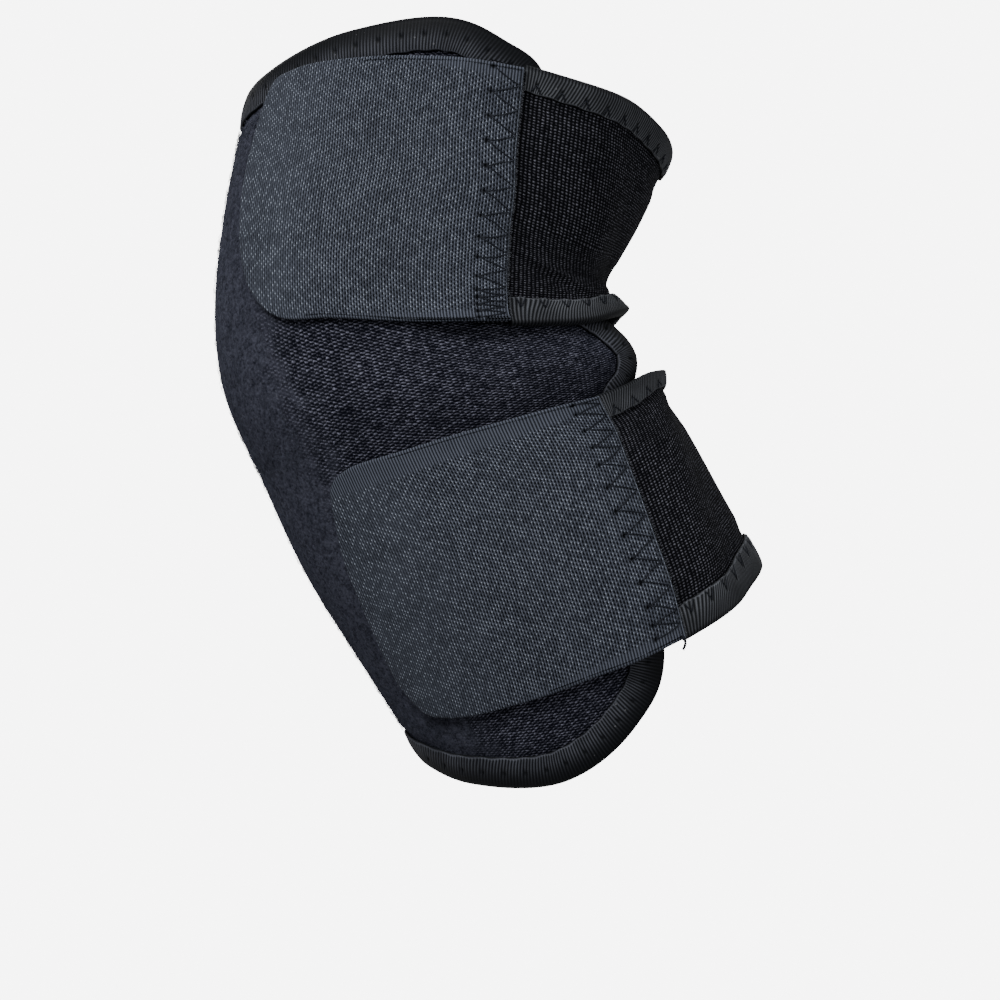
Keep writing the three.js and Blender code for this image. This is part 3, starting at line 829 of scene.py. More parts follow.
class FibreFuzz:
    """Node group: short tangled fibres, soft clouds, tufts, fine grain and specks of lint."""

    def __init__(self) -> None:
        """Build the group once."""
        tree, given, out = group_tree(
            "fibre_fuzz",
            {"Position": (VECTOR, None), "Scale": (FLOAT, 1.0)},
            {"Fibres": FLOAT, "Clumps": FLOAT, "Tufts": FLOAT, "Specks": FLOAT, "Lint": FLOAT},
        )
        self.tree = tree
        mm = vectors(tree, "SCALE", {0: given.outputs["Position"], 3: 1 / MM})
        spots = vectors(tree, "SCALE", {0: mm, 3: given.outputs["Scale"]})
        layers = []
        for stretch, scale in (((1.0, 0.35, 0.55), 0.9), ((0.4, 1.0, 0.8), 1.15), ((0.75, 0.8, 0.3), 1.4)):
            noise = self._noise(vectors(tree, "MULTIPLY", {0: spots, 1: stretch}), scale, 3.0, 1.6)
            ridge = maths(tree, "ABSOLUTE", maths(tree, "MULTIPLY_ADD", noise, 2.0, -1.0))
            layers.append(maths(tree, "POWER", maths(tree, "SUBTRACT", 1.0, ridge), 10.0))
        fibres = maths(tree, "MAXIMUM", maths(tree, "MAXIMUM", layers[0], layers[1]), layers[2])
        clumps = self._noise(spots, 0.13, 4.0, 0.4)
        tufts = self._noise(spots, 0.5, 3.0, 0.8)
        specks = self._noise(spots, 1.2, 2.0, 0.0)
        grains = node(tree, "ShaderNodeTexVoronoi", {"Vector": spots, "Scale": 0.42})
        near = maths(tree, "LESS_THAN", grains.outputs["Distance"], 0.1)
        some = node(tree, "ShaderNodeSeparateXYZ", {0: grains.outputs["Color"]})
        lint = maths(tree, "MULTIPLY", near, maths(tree, "GREATER_THAN", some.outputs[0], 0.72))
        found = {"Fibres": fibres, "Clumps": clumps, "Tufts": tufts, "Specks": specks, "Lint": lint}
        for key, socket in found.items():
            tree.links.new(socket, out.inputs[key])

    def _noise(self, vector: Socket, scale: float, detail: float, warp: float) -> Socket:
        """A noise value on a vector."""
        sockets = {"Vector": vector, "Scale": scale, "Detail": detail, "Roughness": 0.6, "Distortion": warp}
        return node(self.tree, "ShaderNodeTexNoise", sockets).outputs["Fac"]

    def place(self, tree: bpy.types.NodeTree, scale: float) -> bpy.types.Node:
        """Place the group in a material on the object's own coordinates.

        Args:
            tree: The material's node tree.
            scale: How many times finer the fibres are.

        Returns:
            The group's node.
        """
        made = tree.nodes.new("ShaderNodeGroup")
        made.node_tree = self.tree
        coords = node(tree, "ShaderNodeTexCoord", {})
        tree.links.new(coords.outputs["Object"], made.inputs["Position"])
        made.inputs["Scale"].default_value = scale
        return made


@dataclass(frozen=True)
class LoopCloth:
    """Navy loop cloth of the panel: knit loops in the middle, tangled pile where it is brushed."""

    ground: Colour = (0.0011, 0.0013, 0.0030)
    loops: Colour = (0.128, 0.130, 0.170)
    shade: Colour = (0.0014, 0.0017, 0.0034)
    pile: Colour = (0.047, 0.049, 0.066)
    lint: Colour = (0.12, 0.12, 0.14)

    def make(self, weave: CellWeave, fuzz: FibreFuzz) -> bpy.types.Material:
        """Build the material.

        Args:
            weave: The shared group of stitches.
            fuzz: The shared group of fibres.

        Returns:
            The material.
        """
        finish = Finish("loop_cloth", roughness=0.9, gloss=0.02, sheen=0.03)
        finish.shader.inputs["Sheen Tint"].default_value = (0.5, 0.58, 0.9, 1.0)
        tree = finish.tree
        knit = weave.place(tree, pitch_around=1.05, pitch_along=0.76, stagger=0.5, drift=0.6, drift_scale=0.9)
        hair = fuzz.place(tree, 1.0)
        cloud = hair.outputs["Clumps"]
        ragged = maths(tree, "ADD", finish.mask("brushed"), maths(tree, "MULTIPLY_ADD", cloud, 1.3, -0.65))
        nap = maths(tree, "MULTIPLY", ramp(tree, ragged, 0.1, 0.9), 0.9)
        links = maths(tree, "MULTIPLY", maths(tree, "POWER", knit.outputs["Rungs"], 1.3), 0.6)
        dots = maths(tree, "ADD", maths(tree, "POWER", knit.outputs["Dots"], 1.3), links)
        lively = maths(tree, "MULTIPLY", dots, maths(tree, "MULTIPLY_ADD", knit.outputs["Cell"], 0.6, 0.42))
        grain = maths(tree, "MULTIPLY_ADD", hair.outputs["Specks"], 2.6, -1.3)
        speckled = maths(tree, "MULTIPLY_ADD", grain, 0.16, lively)
        worn = maths(tree, "MULTIPLY", speckled, maths(tree, "MULTIPLY_ADD", cloud, 0.7, 0.68))
        knitted = mix(tree, ramp(tree, worn, 0.0, 1.25), self.ground, self.loops)
        tufted = maths(tree, "MULTIPLY_ADD", hair.outputs["Tufts"], 1.5, -0.4)
        grained = maths(tree, "MULTIPLY_ADD", grain, 0.7, tufted)
        tangle = maths(tree, "MULTIPLY_ADD", hair.outputs["Fibres"], 0.5, grained)
        cloudy = maths(tree, "MULTIPLY", tangle, maths(tree, "MULTIPLY_ADD", cloud, 1.0, 0.5))
        napped = mix(tree, ramp(tree, cloudy, -0.2, 1.3), self.shade, self.pile)
        cloth = mix(tree, nap, knitted, napped)
        specked = mix(tree, maths(tree, "MULTIPLY", hair.outputs["Lint"], 0.35), cloth, self.lint)
        finish.colour(specked)
        finish.relief(blend(tree, nap, dots, tangle), 0.9, 0.0003)
        return finish.material


@dataclass(frozen=True)
class StrapKnit:
    """Black elastic knit of the straps: straight columns of small raised stitches."""

    ground: Colour = (0.0008, 0.0009, 0.0016)
    stitches: Colour = (0.118, 0.120, 0.144)

    def make(self, weave: CellWeave, fuzz: FibreFuzz) -> bpy.types.Material:
        """Build the material.

        Args:
            weave: The shared group of stitches.
            fuzz: The shared group of fibres.

        Returns:
            The material.
        """
        finish = Finish("strap_knit", roughness=0.75, gloss=0.03)
        tree = finish.tree
        pitch = {"pitch_around": 0.98, "pitch_along": 0.68}
        knit = weave.place(tree, **pitch, stagger=0.0, drift=0.45, drift_scale=0.7)
        hair = fuzz.place(tree, 1.0)
        dots = maths(tree, "POWER", knit.outputs["Dots"], 1.7)
        lively = maths(tree, "MULTIPLY", dots, maths(tree, "MULTIPLY_ADD", knit.outputs["Cell"], 0.9, 0.3))
        cloudy = maths(tree, "MULTIPLY_ADD", hair.outputs["Clumps"], 1.3, 0.35)
        worn = maths(tree, "MULTIPLY", lively, cloudy)
        finish.colour(mix(tree, worn, self.ground, self.stitches))
        finish.relief(dots, 0.9, 0.0003)
        return finish.material


@dataclass(frozen=True)
class HookTape:
    """Charcoal hook tape of the tabs: wales with dark holes between them, plain ribbed selvedges, painted
    glints on some hook tips and painted shade in the seam's needle holes.
    """

    ground: Colour = (0.0005, 0.0007, 0.0013)
    yarn: Colour = (0.103, 0.115, 0.147)
    # Painted highlight on some hook tips.
    glint: Colour = (0.42, 0.47, 0.55)
    # Painted shade in the seam's needle holes.
    dent_shade: Colour = (0.0004, 0.0005, 0.0008)

    def make(self, weave: CellWeave, fuzz: FibreFuzz) -> bpy.types.Material:
        """Build the material.

        Args:
            weave: The shared group of stitches.
            fuzz: The shared group of fibres.

        Returns:
            The material.
        """
        finish = Finish("hook_tape", roughness=0.6, gloss=0.03)
        tree = finish.tree
        pitch = {"pitch_around": 0.65, "pitch_along": 1.06}
        hooks = weave.place(tree, **pitch, stagger=0.5, drift=0.16, drift_scale=0.5)
        ribs = weave.place(tree, **pitch, stagger=0.0, drift=0.12, drift_scale=0.35)
        hair = fuzz.place(tree, 1.0)
        cloud = hair.outputs["Clumps"]
        selvedge = finish.mask("selvedge")
        wales = maths(tree, "MULTIPLY", maths(tree, "POWER", hooks.outputs["Wales"], 3.0), 0.75)
        beads = maths(tree, "MULTIPLY_ADD", maths(tree, "POWER", hooks.outputs["Dots"], 2.0), 0.5, wales)
        net = maths(tree, "MULTIPLY_ADD", maths(tree, "POWER", hooks.outputs["Rungs"], 1.8), 0.38, beads)
        body = maths(tree, "MULTIPLY", net, maths(tree, "MULTIPLY_ADD", hooks.outputs["Cell"], 0.8, 0.6))
        flat = maths(tree, "MULTIPLY_ADD", body, 0.34, 0.18)
        sparse = maths(tree, "MULTIPLY", finish.mask("sparse"), maths(tree, "MULTIPLY_ADD", cloud, 1.6, 0.2))
        plain = maths(tree, "MULTIPLY_ADD", ribs.outputs["Wales"], 0.6, 0.06)
        cover = blend(tree, selvedge, blend(tree, sparse, body, flat), plain)
        aged = maths(tree, "MULTIPLY", cover, maths(tree, "MULTIPLY_ADD", cloud, 0.5, 0.73))
        yarn = mix(tree, aged, self.ground, self.yarn)
        # Painted highlight: glints on some hook tips.
        tips = maths(tree, "POWER", hooks.outputs["Dots"], 4.0)
        lit = ramp(tree, hooks.outputs["Cell"], 0.3, 1.0)
        woven = maths(tree, "SUBTRACT", 1.0, selvedge)
        spark = maths(tree, "MULTIPLY", maths(tree, "MULTIPLY", tips, lit), woven)
        glinting = mix(tree, maths(tree, "MULTIPLY", spark, 0.8), yarn, self.glint)
        frayed = mix(tree, maths(tree, "MULTIPLY", finish.mask("fray"), 0.05), glinting, self.glint)
        # Painted shade in the seam's needle holes.
        finish.colour(mix(tree, finish.mask("pricked"), frayed, self.dent_shade))
        finish.relief(maths(tree, "ADD", cover, maths(tree, "MULTIPLY", spark, 0.7)), 0.9, 0.00025)
        return finish.material


@dataclass(frozen=True)
class BindingTape:
    """Ribbed binding tape: lit rib crests with painted shade between them, and painted shade along the
    zigzag's groove and in the pricked holes where it is sewn.
    """

    name: str = "strap_tape"
    # Painted shade between the ribs, and the colour of the lit rib crests.
    valley_shade: Colour = (0.0012, 0.0015, 0.0022)
    rib: Colour = (0.078, 0.083, 0.094)
    # Painted shade in the zigzag's groove and in the needle holes.
    dent_shade: Colour = (0.0010, 0.0013, 0.0020)
    lint: Colour = (0.14, 0.14, 0.15)

    def make(self, fuzz: FibreFuzz) -> bpy.types.Material:
        """Build the material.

        Args:
            fuzz: The shared group of fibres.

        Returns:
            The material.
        """
        finish = Finish(self.name, roughness=0.6, gloss=0.06, sheen=0.01)
        tree = finish.tree
        hair = fuzz.place(tree, 1.0)
        worn = maths(tree, "MULTIPLY_ADD", hair.outputs["Clumps"], 1.3, 0.3)
        # Painted light and shade: lit rib crests against painted shade in the valleys between them.
        share = maths(tree, "MULTIPLY", maths(tree, "POWER", finish.mask("rib"), 1.8), worn)
        ribbed = mix(tree, share, self.valley_shade, self.rib)
        lint = mix(tree, maths(tree, "MULTIPLY", hair.outputs["Lint"], 0.3), ribbed, self.lint)
        # Painted shade along the zigzag's groove.
        sewn = mix(tree, maths(tree, "MULTIPLY", finish.mask("sewn"), 0.55), lint, self.dent_shade)
        # Painted shade in the needle holes.
        finish.colour(mix(tree, finish.mask("pricked"), sewn, self.dent_shade))
        finish.relief(hair.outputs["Specks"], 0.4, 0.0001)
        return finish.material


@dataclass(frozen=True)
class Strand:
    """A plain strand: sewing thread, brushed pile or fray."""

    name: str
    dark: Colour
    light: Colour

    def make(self, fuzz: FibreFuzz) -> bpy.types.Material:
        """Build the material.

        Args:
            fuzz: The shared group of fibres.

        Returns:
            The material.
        """
        finish = Finish(self.name, roughness=0.6, gloss=0.1)
        hair = fuzz.place(finish.tree, 2.0)
        finish.colour(mix(finish.tree, hair.outputs["Specks"], self.dark, self.light))
        return finish.material


@dataclass(frozen=True)
class Finishes:
    """All the finishes of the brace."""

    loop_cloth: bpy.types.Material
    strap_knit: bpy.types.Material
    hook_tape: bpy.types.Material
    strap_tape: bpy.types.Material
    edge_tape: bpy.types.Material
    thread: bpy.types.Material
    nap: bpy.types.Material
    fray: bpy.types.Material

    @staticmethod
    def make() -> "Finishes":
        """Build every finish on the two shared groups.

        Returns:
            The finishes.
        """
        weave, fuzz = CellWeave(), FibreFuzz()
        return Finishes(
            loop_cloth=LoopCloth().make(weave, fuzz),
            strap_knit=StrapKnit().make(weave, fuzz),
            hook_tape=HookTape().make(weave, fuzz),
            strap_tape=BindingTape().make(fuzz),
            edge_tape=BindingTape(name="edge_tape", rib=(0.052, 0.055, 0.067)).make(fuzz),
            thread=Strand("sewing_thread", (0.0012, 0.0015, 0.0024), (0.011, 0.013, 0.019)).make(fuzz),
            nap=Strand("brushed_pile", (0.004, 0.005, 0.009), (0.052, 0.057, 0.078)).make(fuzz),
            fray=Strand("frayed_yarn", (0.03, 0.034, 0.042), (0.14, 0.15, 0.17)).make(fuzz),
        )


# Threads and fibres


@dataclass(frozen=True)
class TwistedThread:
    """Sewing thread of two twisted plies, in millimetres."""

    ply: float = 0.115
    lay: float = 1.1
    sides: int = 5

    def run(self, cloth: Cloth, points: Array, up: Array) -> None:
        """Add a thread along points.

        Args:
            cloth: The mesh to add to.
            points: The thread's middle line as (n, 3).
            up: A direction away from the cloth for each point.
        """
        way = np.gradient(points, axis=0)
        way /= np.linalg.norm(way, axis=1, keepdims=True)
        side = np.cross(way, up)
        side /= np.linalg.norm(side, axis=1, keepdims=True)
        top = np.cross(side, way)
        reached = lengths_along(points)
        ring = np.arange(self.sides) * 2 * math.pi / self.sides
        for start in (0.0, math.pi):
            turn = (start + reached * 2 * math.pi / self.lay)[:, None]
            middle = points + self.ply * 0.85 * (np.cos(turn) * side + np.sin(turn) * top)
            skin = np.cos(ring)[None, :, None] * top[:, None] - np.sin(ring)[None, :, None] * side[:, None]
            first, last = middle[0] - self.ply * way[0], middle[-1] + self.ply * way[-1]
            tube(cloth, middle[:, None] + self.ply * skin, first, last)

    def sew(self, cloth: Cloth, place: Array, height: Array) -> None:
        """Add a thread over a line of places, at heights over the skin."""
        self.run(cloth, ARM.above(place, height), ARM.directions(place[:, 0], place[:, 1])[2])


def tube(cloth: Cloth, rings: Array, first: Array, last: Array) -> None:
    """Add closed tubes.

    Args:
        cloth: The mesh to add to.
        rings: Points as (rings, sides, 3), or (tubes, rings, sides, 3), turning left-handed about the way.
        first: The tip before the first ring.
        last: The tip after the last ring.
    """
    index = cloth.add(rings)
    tips = cloth.add(np.stack([first, last], axis=-2))
    after = np.roll(index, -1, axis=-1)
    cloth.quads(index[..., :-1, :], index[..., 1:, :], after[..., 1:, :], after[..., :-1, :])
    low = np.broadcast_to(tips[..., :1], index[..., 0, :].shape)
    high = np.broadcast_to(tips[..., 1:], index[..., -1, :].shape)
    cloth.quads(index[..., 0, :], after[..., 0, :], low, low)
    cloth.quads(after[..., -1, :], index[..., -1, :], high, high)


@dataclass(frozen=True)
class FibreSpread:
    """Many short curved fibres, each thinning to two tips, in millimetres."""

    length: tuple[float, float]
    lift: tuple[float, float]
    radius: float
    bend: float = 0.5

    def lay(self, cloth: Cloth, places: Array, ways: Array, heights: Array, rng: np.random.Generator) -> None:
        """Lay fibres on the cloth.

        Args:
            cloth: The mesh to add to.
            places: Where they start, as (n, 2).
            ways: Their headings, as angles from the way around.
            heights: The height of the surface that they lie on.
            rng: The seeded source of their lengths and bends.
        """
        count = len(places)
        length = rng.uniform(*self.length, count)
        lift = rng.uniform(*self.lift, count)
        bend = rng.normal(0, self.bend, count)
        arc = ARM.arc(places[:, 0], places[:, 1])
        spots = []
        place, way = places.copy(), ways.copy()
        for share in (0.0, 0.6, 1.0, 0.25):
            spots.append(ARM.above(place, heights + lift * share))
            step = np.stack([np.cos(way) * length / 3 / arc, np.sin(way) * length / 3], axis=-1)
            place, way = place + step, way + bend
        middle = np.stack(spots[1:3], axis=1)
        up = ARM.directions(places[:, 0], places[:, 1])[2]
        heading = spots[3] - spots[0]
        heading /= np.linalg.norm(heading, axis=1, keepdims=True)
        side = np.cross(heading, up)
        side /= np.linalg.norm(side, axis=1, keepdims=True)
        ring = np.arange(3) * 2 * math.pi / 3
        top = np.cross(side, heading)
        skin = np.cos(ring)[None, :, None] * top[:, None] - np.sin(ring)[None, :, None] * side[:, None]
        tube(cloth, middle[:, :, None] + self.radius * skin[:, None], spots[0], spots[3])


# Sub-assemblies


class Slot(Enum):
    """The record's material slots."""

    LOOP_CLOTH = "loop_cloth"
    STRAP_KNIT = "strap_knit"
    HOOK_TAPE = "hook_tape"
    BINDING_TAPE = "binding_tape"


def settle(piece: bpy.types.Object, slot: Slot, *nodes: str) -> None:
    """Let a piece ride on the brace and stand for its solids.

    Args:
        piece: The piece.
        slot: The record's slot that its finish belongs to; not used.
        *nodes: The solids that it stands for, if any.
    """
    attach(piece, "root")
    if nodes:
        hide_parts(*nodes)
    LOG.info("%s: %d faces", piece.name, len(piece.data.polygons))


@dataclass
class Edge:
    """A cloth edge that a tape is folded over, in millimetres.

    Attributes:
        place_at: Turns lengths along the edge and distances in into places.
        length: The edge's length.
        closed: Whether it closes on itself.
        base: Turns places into the height that the bound cloth lies at.
        rim: The bound cloth's thickness.
    """

    place_at: Callable[[Array, Array], Array]
    length: float
    closed: bool
    base: Callable[[Array], Array]
    rim: float


@dataclass
class FoldedTape:
    """Ribbed tape folded over an edge and sewn down with a zigzag."""

    name: str
    edge: Edge
    sewn_on_top: bool
    rib_pitch: float = 0.76
    rib_height: float = 0.1
    rib_slant: float = 0.42
    stitch_spread: float = 0.2
    crown: float = 0.32
    stitch_pitch: float = 5.8
    stitch_from: float = 4.6
    cover: float = CUT.tape_cover
    hole: float = 0.36
    dent: float = 0.16
    # Painted shade along the zigzag's groove and towards the folded edge.
    groove_shade: float = 0.9
    edge_shade: float = 0.2

    def __post_init__(self) -> None:
        """Fit whole numbers of ribs and stitches to the edge."""
        self.ribs = int(round(self.edge.length / self.rib_pitch))
        self.stitches = max(2, int(round(self.edge.length / self.stitch_pitch)))
        self.pitch = self.edge.length / self.stitches
        self.top = self.edge.rim + 2 * CUT.build

    def rounded(self, inward: Array) -> Array:
        """How far the tape's outer face crowns at a distance in."""
        return self.crown * np.sin(math.pi * (0.94 - 0.86 * inward / self.cover))

    def phase(self, reach: Array) -> Array:
        """Distance along the edge from the nearest needle hole."""
        return (reach + self.pitch) % self.pitch - self.pitch / 2

    def sewn(self, reach: Array, inward: Array) -> tuple[Array, Array]:
        """How deep a place lies in a needle hole and in the zigzag's groove, from 0 to 1.

        Args:
            reach: Millimetres along the edge.
            inward: Millimetres in from the edge.

        Returns:
            The share of the hole and the share of the groove.
        """
        beside = np.abs(self.phase(reach))
        below = (inward - self.stitch_from) / (1.2 * self.hole)
        hole = np.exp(-((beside / self.hole) ** 2) - below**2)
        reached = (inward - self.stitch_from) / (self.cover - self.stitch_from)
        aside = beside - self.stitch_spread * self.pitch * np.clip(reached, 0, 1)
        groove = np.exp(-((aside / 0.4) ** 2)) * smoothstep(reached, -0.1, 0.15)
        return hole, groove

    def section(self) -> Array:
        """The tape's section as rows of distance in, height, outer face share and rib share.

        Returns:
            The rows, once round the section.
        """
        cover, thick = self.cover, CUT.tape_thick
        outside = [(d, self.top, 1.0, 1.0) for d in np.linspace(cover, 0.5, 17)]
        radius = self.top / 2
        angles = np.linspace(0.5, 2.64, 7)
        turn = [(-0.75 * math.sin(a), radius * (1 + math.cos(a)), 0.0, 0.55) for a in angles]
        inside = [(d, 0.0, 0.0, 1.0) for d in (0.5, cover / 3, 2 * cover / 3, cover - 0.2)]
        back = [(cover, thick, 0.0, 0.0), (2.0, thick, 0.0, 0.0), (-0.12, thick + 0.12, 0.0, 0.0)]
        under = self.top - thick
        home = [(-0.12, under - 0.12, 0.0, 0.0), (2.0, under, 0.0, 0.0), (cover, under, 0.0, 0.0)]
        return np.array(outside + turn + inside + back + home)

    def build(self, tape: bpy.types.Material, thread: bpy.types.Material, node_name: str) -> None:
        """Make the tape and its stitches.

        Args:
            tape: The tape's finish.
            thread: The stitches' finish.
            node_name: The solid that the tape stands for.
        """
        piece = self._cloth().mesh_object(tape)
        settle(piece, Slot.BINDING_TAPE, node_name)
        if self.sewn_on_top:
            settle(self._zigzag().mesh_object(thread), Slot.BINDING_TAPE)

    def _cloth(self) -> Cloth:
        """Sweep the section along the edge.

        Returns:
            The mesh in the making.
        """
        edge, section = self.edge, self.section()
        stations = 2 * self.ribs + (0 if edge.closed else 1)
        at = (np.arange(stations) * edge.length / (2 * self.ribs))[:, None]
        inward = np.broadcast_to(section[None, :, 0], (stations, len(section)))
        ends = 1.0 if edge.closed else smoothstep(np.minimum(at, edge.length - at), 0.0, 7.0)
        reach = at + self.rib_slant * ends * np.clip(inward, 0, self.cover) * section[None, :, 2]
        hole, groove = self.sewn(reach, inward)
        outer = section[None, :, 2]
        wave = 0.5 + 0.5 * np.cos(2 * math.pi * reach / self.pitch)
        wavy = inward - 0.35 * outer * smoothstep(inward, self.cover - 1.5, self.cover) * wave
        place = edge.place_at(reach, wavy)
        peak = (np.arange(stations) % 2)[:, None] * section[None, :, 3]
        proud = outer * (self.rounded(inward) - self.dent * groove - 0.45 * hole) + self.rib_height * peak
        cloth = Cloth(self.name)
        points = ARM.above(place, edge.base(place) + section[None, :, 1] + proud)
        # Painted light and shade for the tape's colour: lit rib crests with painted shade in the valleys, a
        # painted highlight along the inner edge, and painted shade towards the folded edge.
        rib = np.maximum(peak, 0.75 * outer * smoothstep(inward, self.cover - 0.3, self.cover))
        rib = rib * (1 - self.edge_shade * (1 - smoothstep(inward, 0.5, 6.0)))
        # Painted shade along the zigzag's groove.
        dent_shade = self.groove_shade * groove * outer
        # Painted shade in the needle holes.
        index = cloth.add(points, None, rib=rib, pricked=hole * outer, sewn=dent_shade)
        around = np.concatenate([index, index[:, :1]], axis=1)
        if edge.closed:
            around = np.concatenate([around, around[:1]])
        cloth.quads(around[:-1, :-1], around[:-1, 1:], around[1:, 1:], around[1:, :-1])
        if not edge.closed:
            self._close_end(cloth, index[0])
            self._close_end(cloth, index[-1][::-1])
        return cloth

    @staticmethod
    def _close_end(cloth: Cloth, line: Array) -> None:
        """Close an open end with a fan of quads between its outer and inner lines.

        Args:
            cloth: The mesh to add to.
            line: Indices once round the section.
        """
        count = len(line)
        low, high = np.arange(count // 2 - 1), np.arange(1, count // 2)
        cloth.quads(line[high], line[low], line[count - 1 - low], line[count - 1 - high])

    def _zigzag(self) -> Cloth:
        """Run the thread down from each needle hole to the tape's inner edge and back.

        Returns:
            The mesh in the making.
        """
        cloth, thread = Cloth(f"{self.name}_stitches"), TwistedThread()
        t = np.linspace(0, 1, 9)
        for k in range(self.stitches):
            for side in (-1, 1):
                reach = (k + 0.5) * self.pitch + side * self.stitch_spread * self.pitch * t
                inward = self.stitch_from + (self.cover - 0.2 - self.stitch_from) * t
                place = self.edge.place_at(reach, inward)
                proud = self.rounded(inward) + 0.02 - 0.5 * np.abs(2 * t - 1) ** 4
                thread.sew(cloth, place, self.edge.base(place) + self.top + proud)
        return cloth


@dataclass
class Panel:
    """The padded panel, its brushed pile and the tape round its edge."""

    across: int = 170
    along: int = 130
    rim_steps: tuple[float, ...] = (0.0, 2.5, 5.0, 6.6, 7.4, 8.1, 8.8, 9.6)
    full_from: float = 10.8
    cloth_radius: float = 43.0
    brushed_from: float = 117.0
    brushed_run: float = 32.0
    knit_from: float = 248.0
    knit_to: float = 275.0
    knit_later: float = 16.0
    fibres: int = 9500

    def heights(self, distance: float, places: Array) -> tuple[Array, Array]:
        """Heights of both faces at a distance from the edge.

        Args:
            distance: Millimetres in from the edge.
            places: The places there.

        Returns:
            The inner face's heights and the outer face's.
        """
        full = float(smoothstep(np.array(distance), CUT.tape_cover, self.full_from))
        low = CUT.build * (1 - full)
        high = CUT.build + CUT.panel_rim + (CUT.panel_thick - CUT.build - CUT.panel_rim) * full
        return np.full(places.shape[:-1], low), np.full(places.shape[:-1], high)

    def brushed(self, place: Array) -> Array:
        """How far the loops are brushed out at a place: round the back, and lower down from the side on.

        Args:
            place: Places as (..., 2).

        Returns:
            Shares from 0 to 1.
        """
        turned = np.degrees(place[..., 0]) % 360
        lower = smoothstep(-place[..., 1], 45.0, 80.0)
        rising = smoothstep(turned, self.brushed_from, self.brushed_from + self.brushed_run)
        return rising * (1 - smoothstep(turned, self.knit_from + self.knit_later * lower, self.knit_to))

    def dress(self, place: Array) -> tuple[Array, dict[str, Array]]:
        """Cloth coordinates and masks at places."""
        uv = np.stack([place[..., 0] * self.cloth_radius, place[..., 1]], axis=-1)
        return uv, {"brushed": self.brushed(place)}

    @staticmethod
    def base(place: Array) -> Array:
        """The height that the panel lies at, which is the skin's own."""
        return np.zeros(place.shape[:-1])

    def build(self, finishes: Finishes) -> None:
        """Make the panel, its pile and its tape.

        Args:
            finishes: All the finishes.
        """
        outline = OUTLINE.sides(self.across, self.along).outline()
        rings = []
        for distance in self.rim_steps:
            ring = inset(outline, distance)
            rings.append((ring, *self.heights(distance, ring)))
        inner = Sides.of_ring(inset(outline, self.full_from), self.across, self.along).grid()
        cloth = Cloth("panel_cloth")
        slab(cloth, rings, (inner, *self.heights(self.full_from, inner)), self.dress)
        panel = cloth.mesh_object(finishes.loop_cloth)
        settle(panel, Slot.LOOP_CLOTH, "body_panel")
        self._nap(inner, finishes.nap)
        tape = FoldedTape(
            "panel_tape",
            self._edge(),
            sewn_on_top=False,
            rib_pitch=0.84,
            rib_slant=0.15,
            stitch_spread=0.22,
            crown=0.5,
            stitch_from=3.7,
            hole=0.5,
            dent=0.08,
            groove_shade=0.25,
            edge_shade=0.75,
        )
        tape.build(finishes.edge_tape, finishes.thread, "body_binding")

    def _nap(self, inner: Array, finish: bpy.types.Material) -> None:
        """Scatter loose pile fibres where the panel is brushed.

        Args:
            inner: Places inside the panel's rim.
            finish: The pile's finish.
        """
        rng = np.random.default_rng(7)
        tries, cell = 4 * self.fibres, np.array([0.025, 1.2])
        u = rng.integers(0, inner.shape[0], tries)
        v = rng.integers(0, inner.shape[1], tries)
        places = inner[u, v] + rng.uniform(-0.5, 0.5, (tries, 2)) * cell
        kept = places[rng.uniform(0, 1, len(places)) < self.brushed(places) ** 1.5][: self.fibres]
        cloth = Cloth("panel_pile")
        spread = FibreSpread(length=(1.0, 3.4), lift=(0.1, 0.6), radius=0.04)
        heights = np.full(len(kept), CUT.panel_thick - 0.03)
        spread.lay(cloth, kept, rng.uniform(0, 2 * math.pi, len(kept)), heights, rng)
        settle(cloth.mesh_object(finish), Slot.LOOP_CLOTH)

    def _edge(self) -> Edge:
        """The panel's whole edge.

        Returns:
            The edge that the tape is folded over.
        """
        across, along, cells = 300, 240, 1200
        outline = OUTLINE.sides(across, along).outline()
        outline = evenly(np.vstack([outline, outline[:1]]), cells)[:-1]
        spots = ARM.skin(outline[:, 0], outline[:, 1])
        steps = np.linalg.norm(np.roll(spots, -1, axis=0) - spots, axis=1)
        reached = np.concatenate([[0], np.cumsum(steps)])
        way, mitre = headings(outline)
        rows = np.column_stack([outline, way, mitre])
        rows = np.vstack([rows, rows[:1]])

        def place_at(reach: Array, inward: Array) -> Array:
            """Places on the outline, stepped inwards.

            Args:
                reach: Millimetres along the edge.
                inward: Millimetres in from it.

            Returns:
                The places.
            """
            flat = reach.ravel() % reached[-1]
            row = np.stack([np.interp(flat, reached, rows[:, k]) for k in range(6)], axis=-1)
            return ARM.aside(row[:, :2], row[:, 2:5], inward.ravel() * row[:, 5]).reshape(*reach.shape, 2)

        return Edge(place_at, float(reached[-1]), True, self.base, CUT.panel_rim)


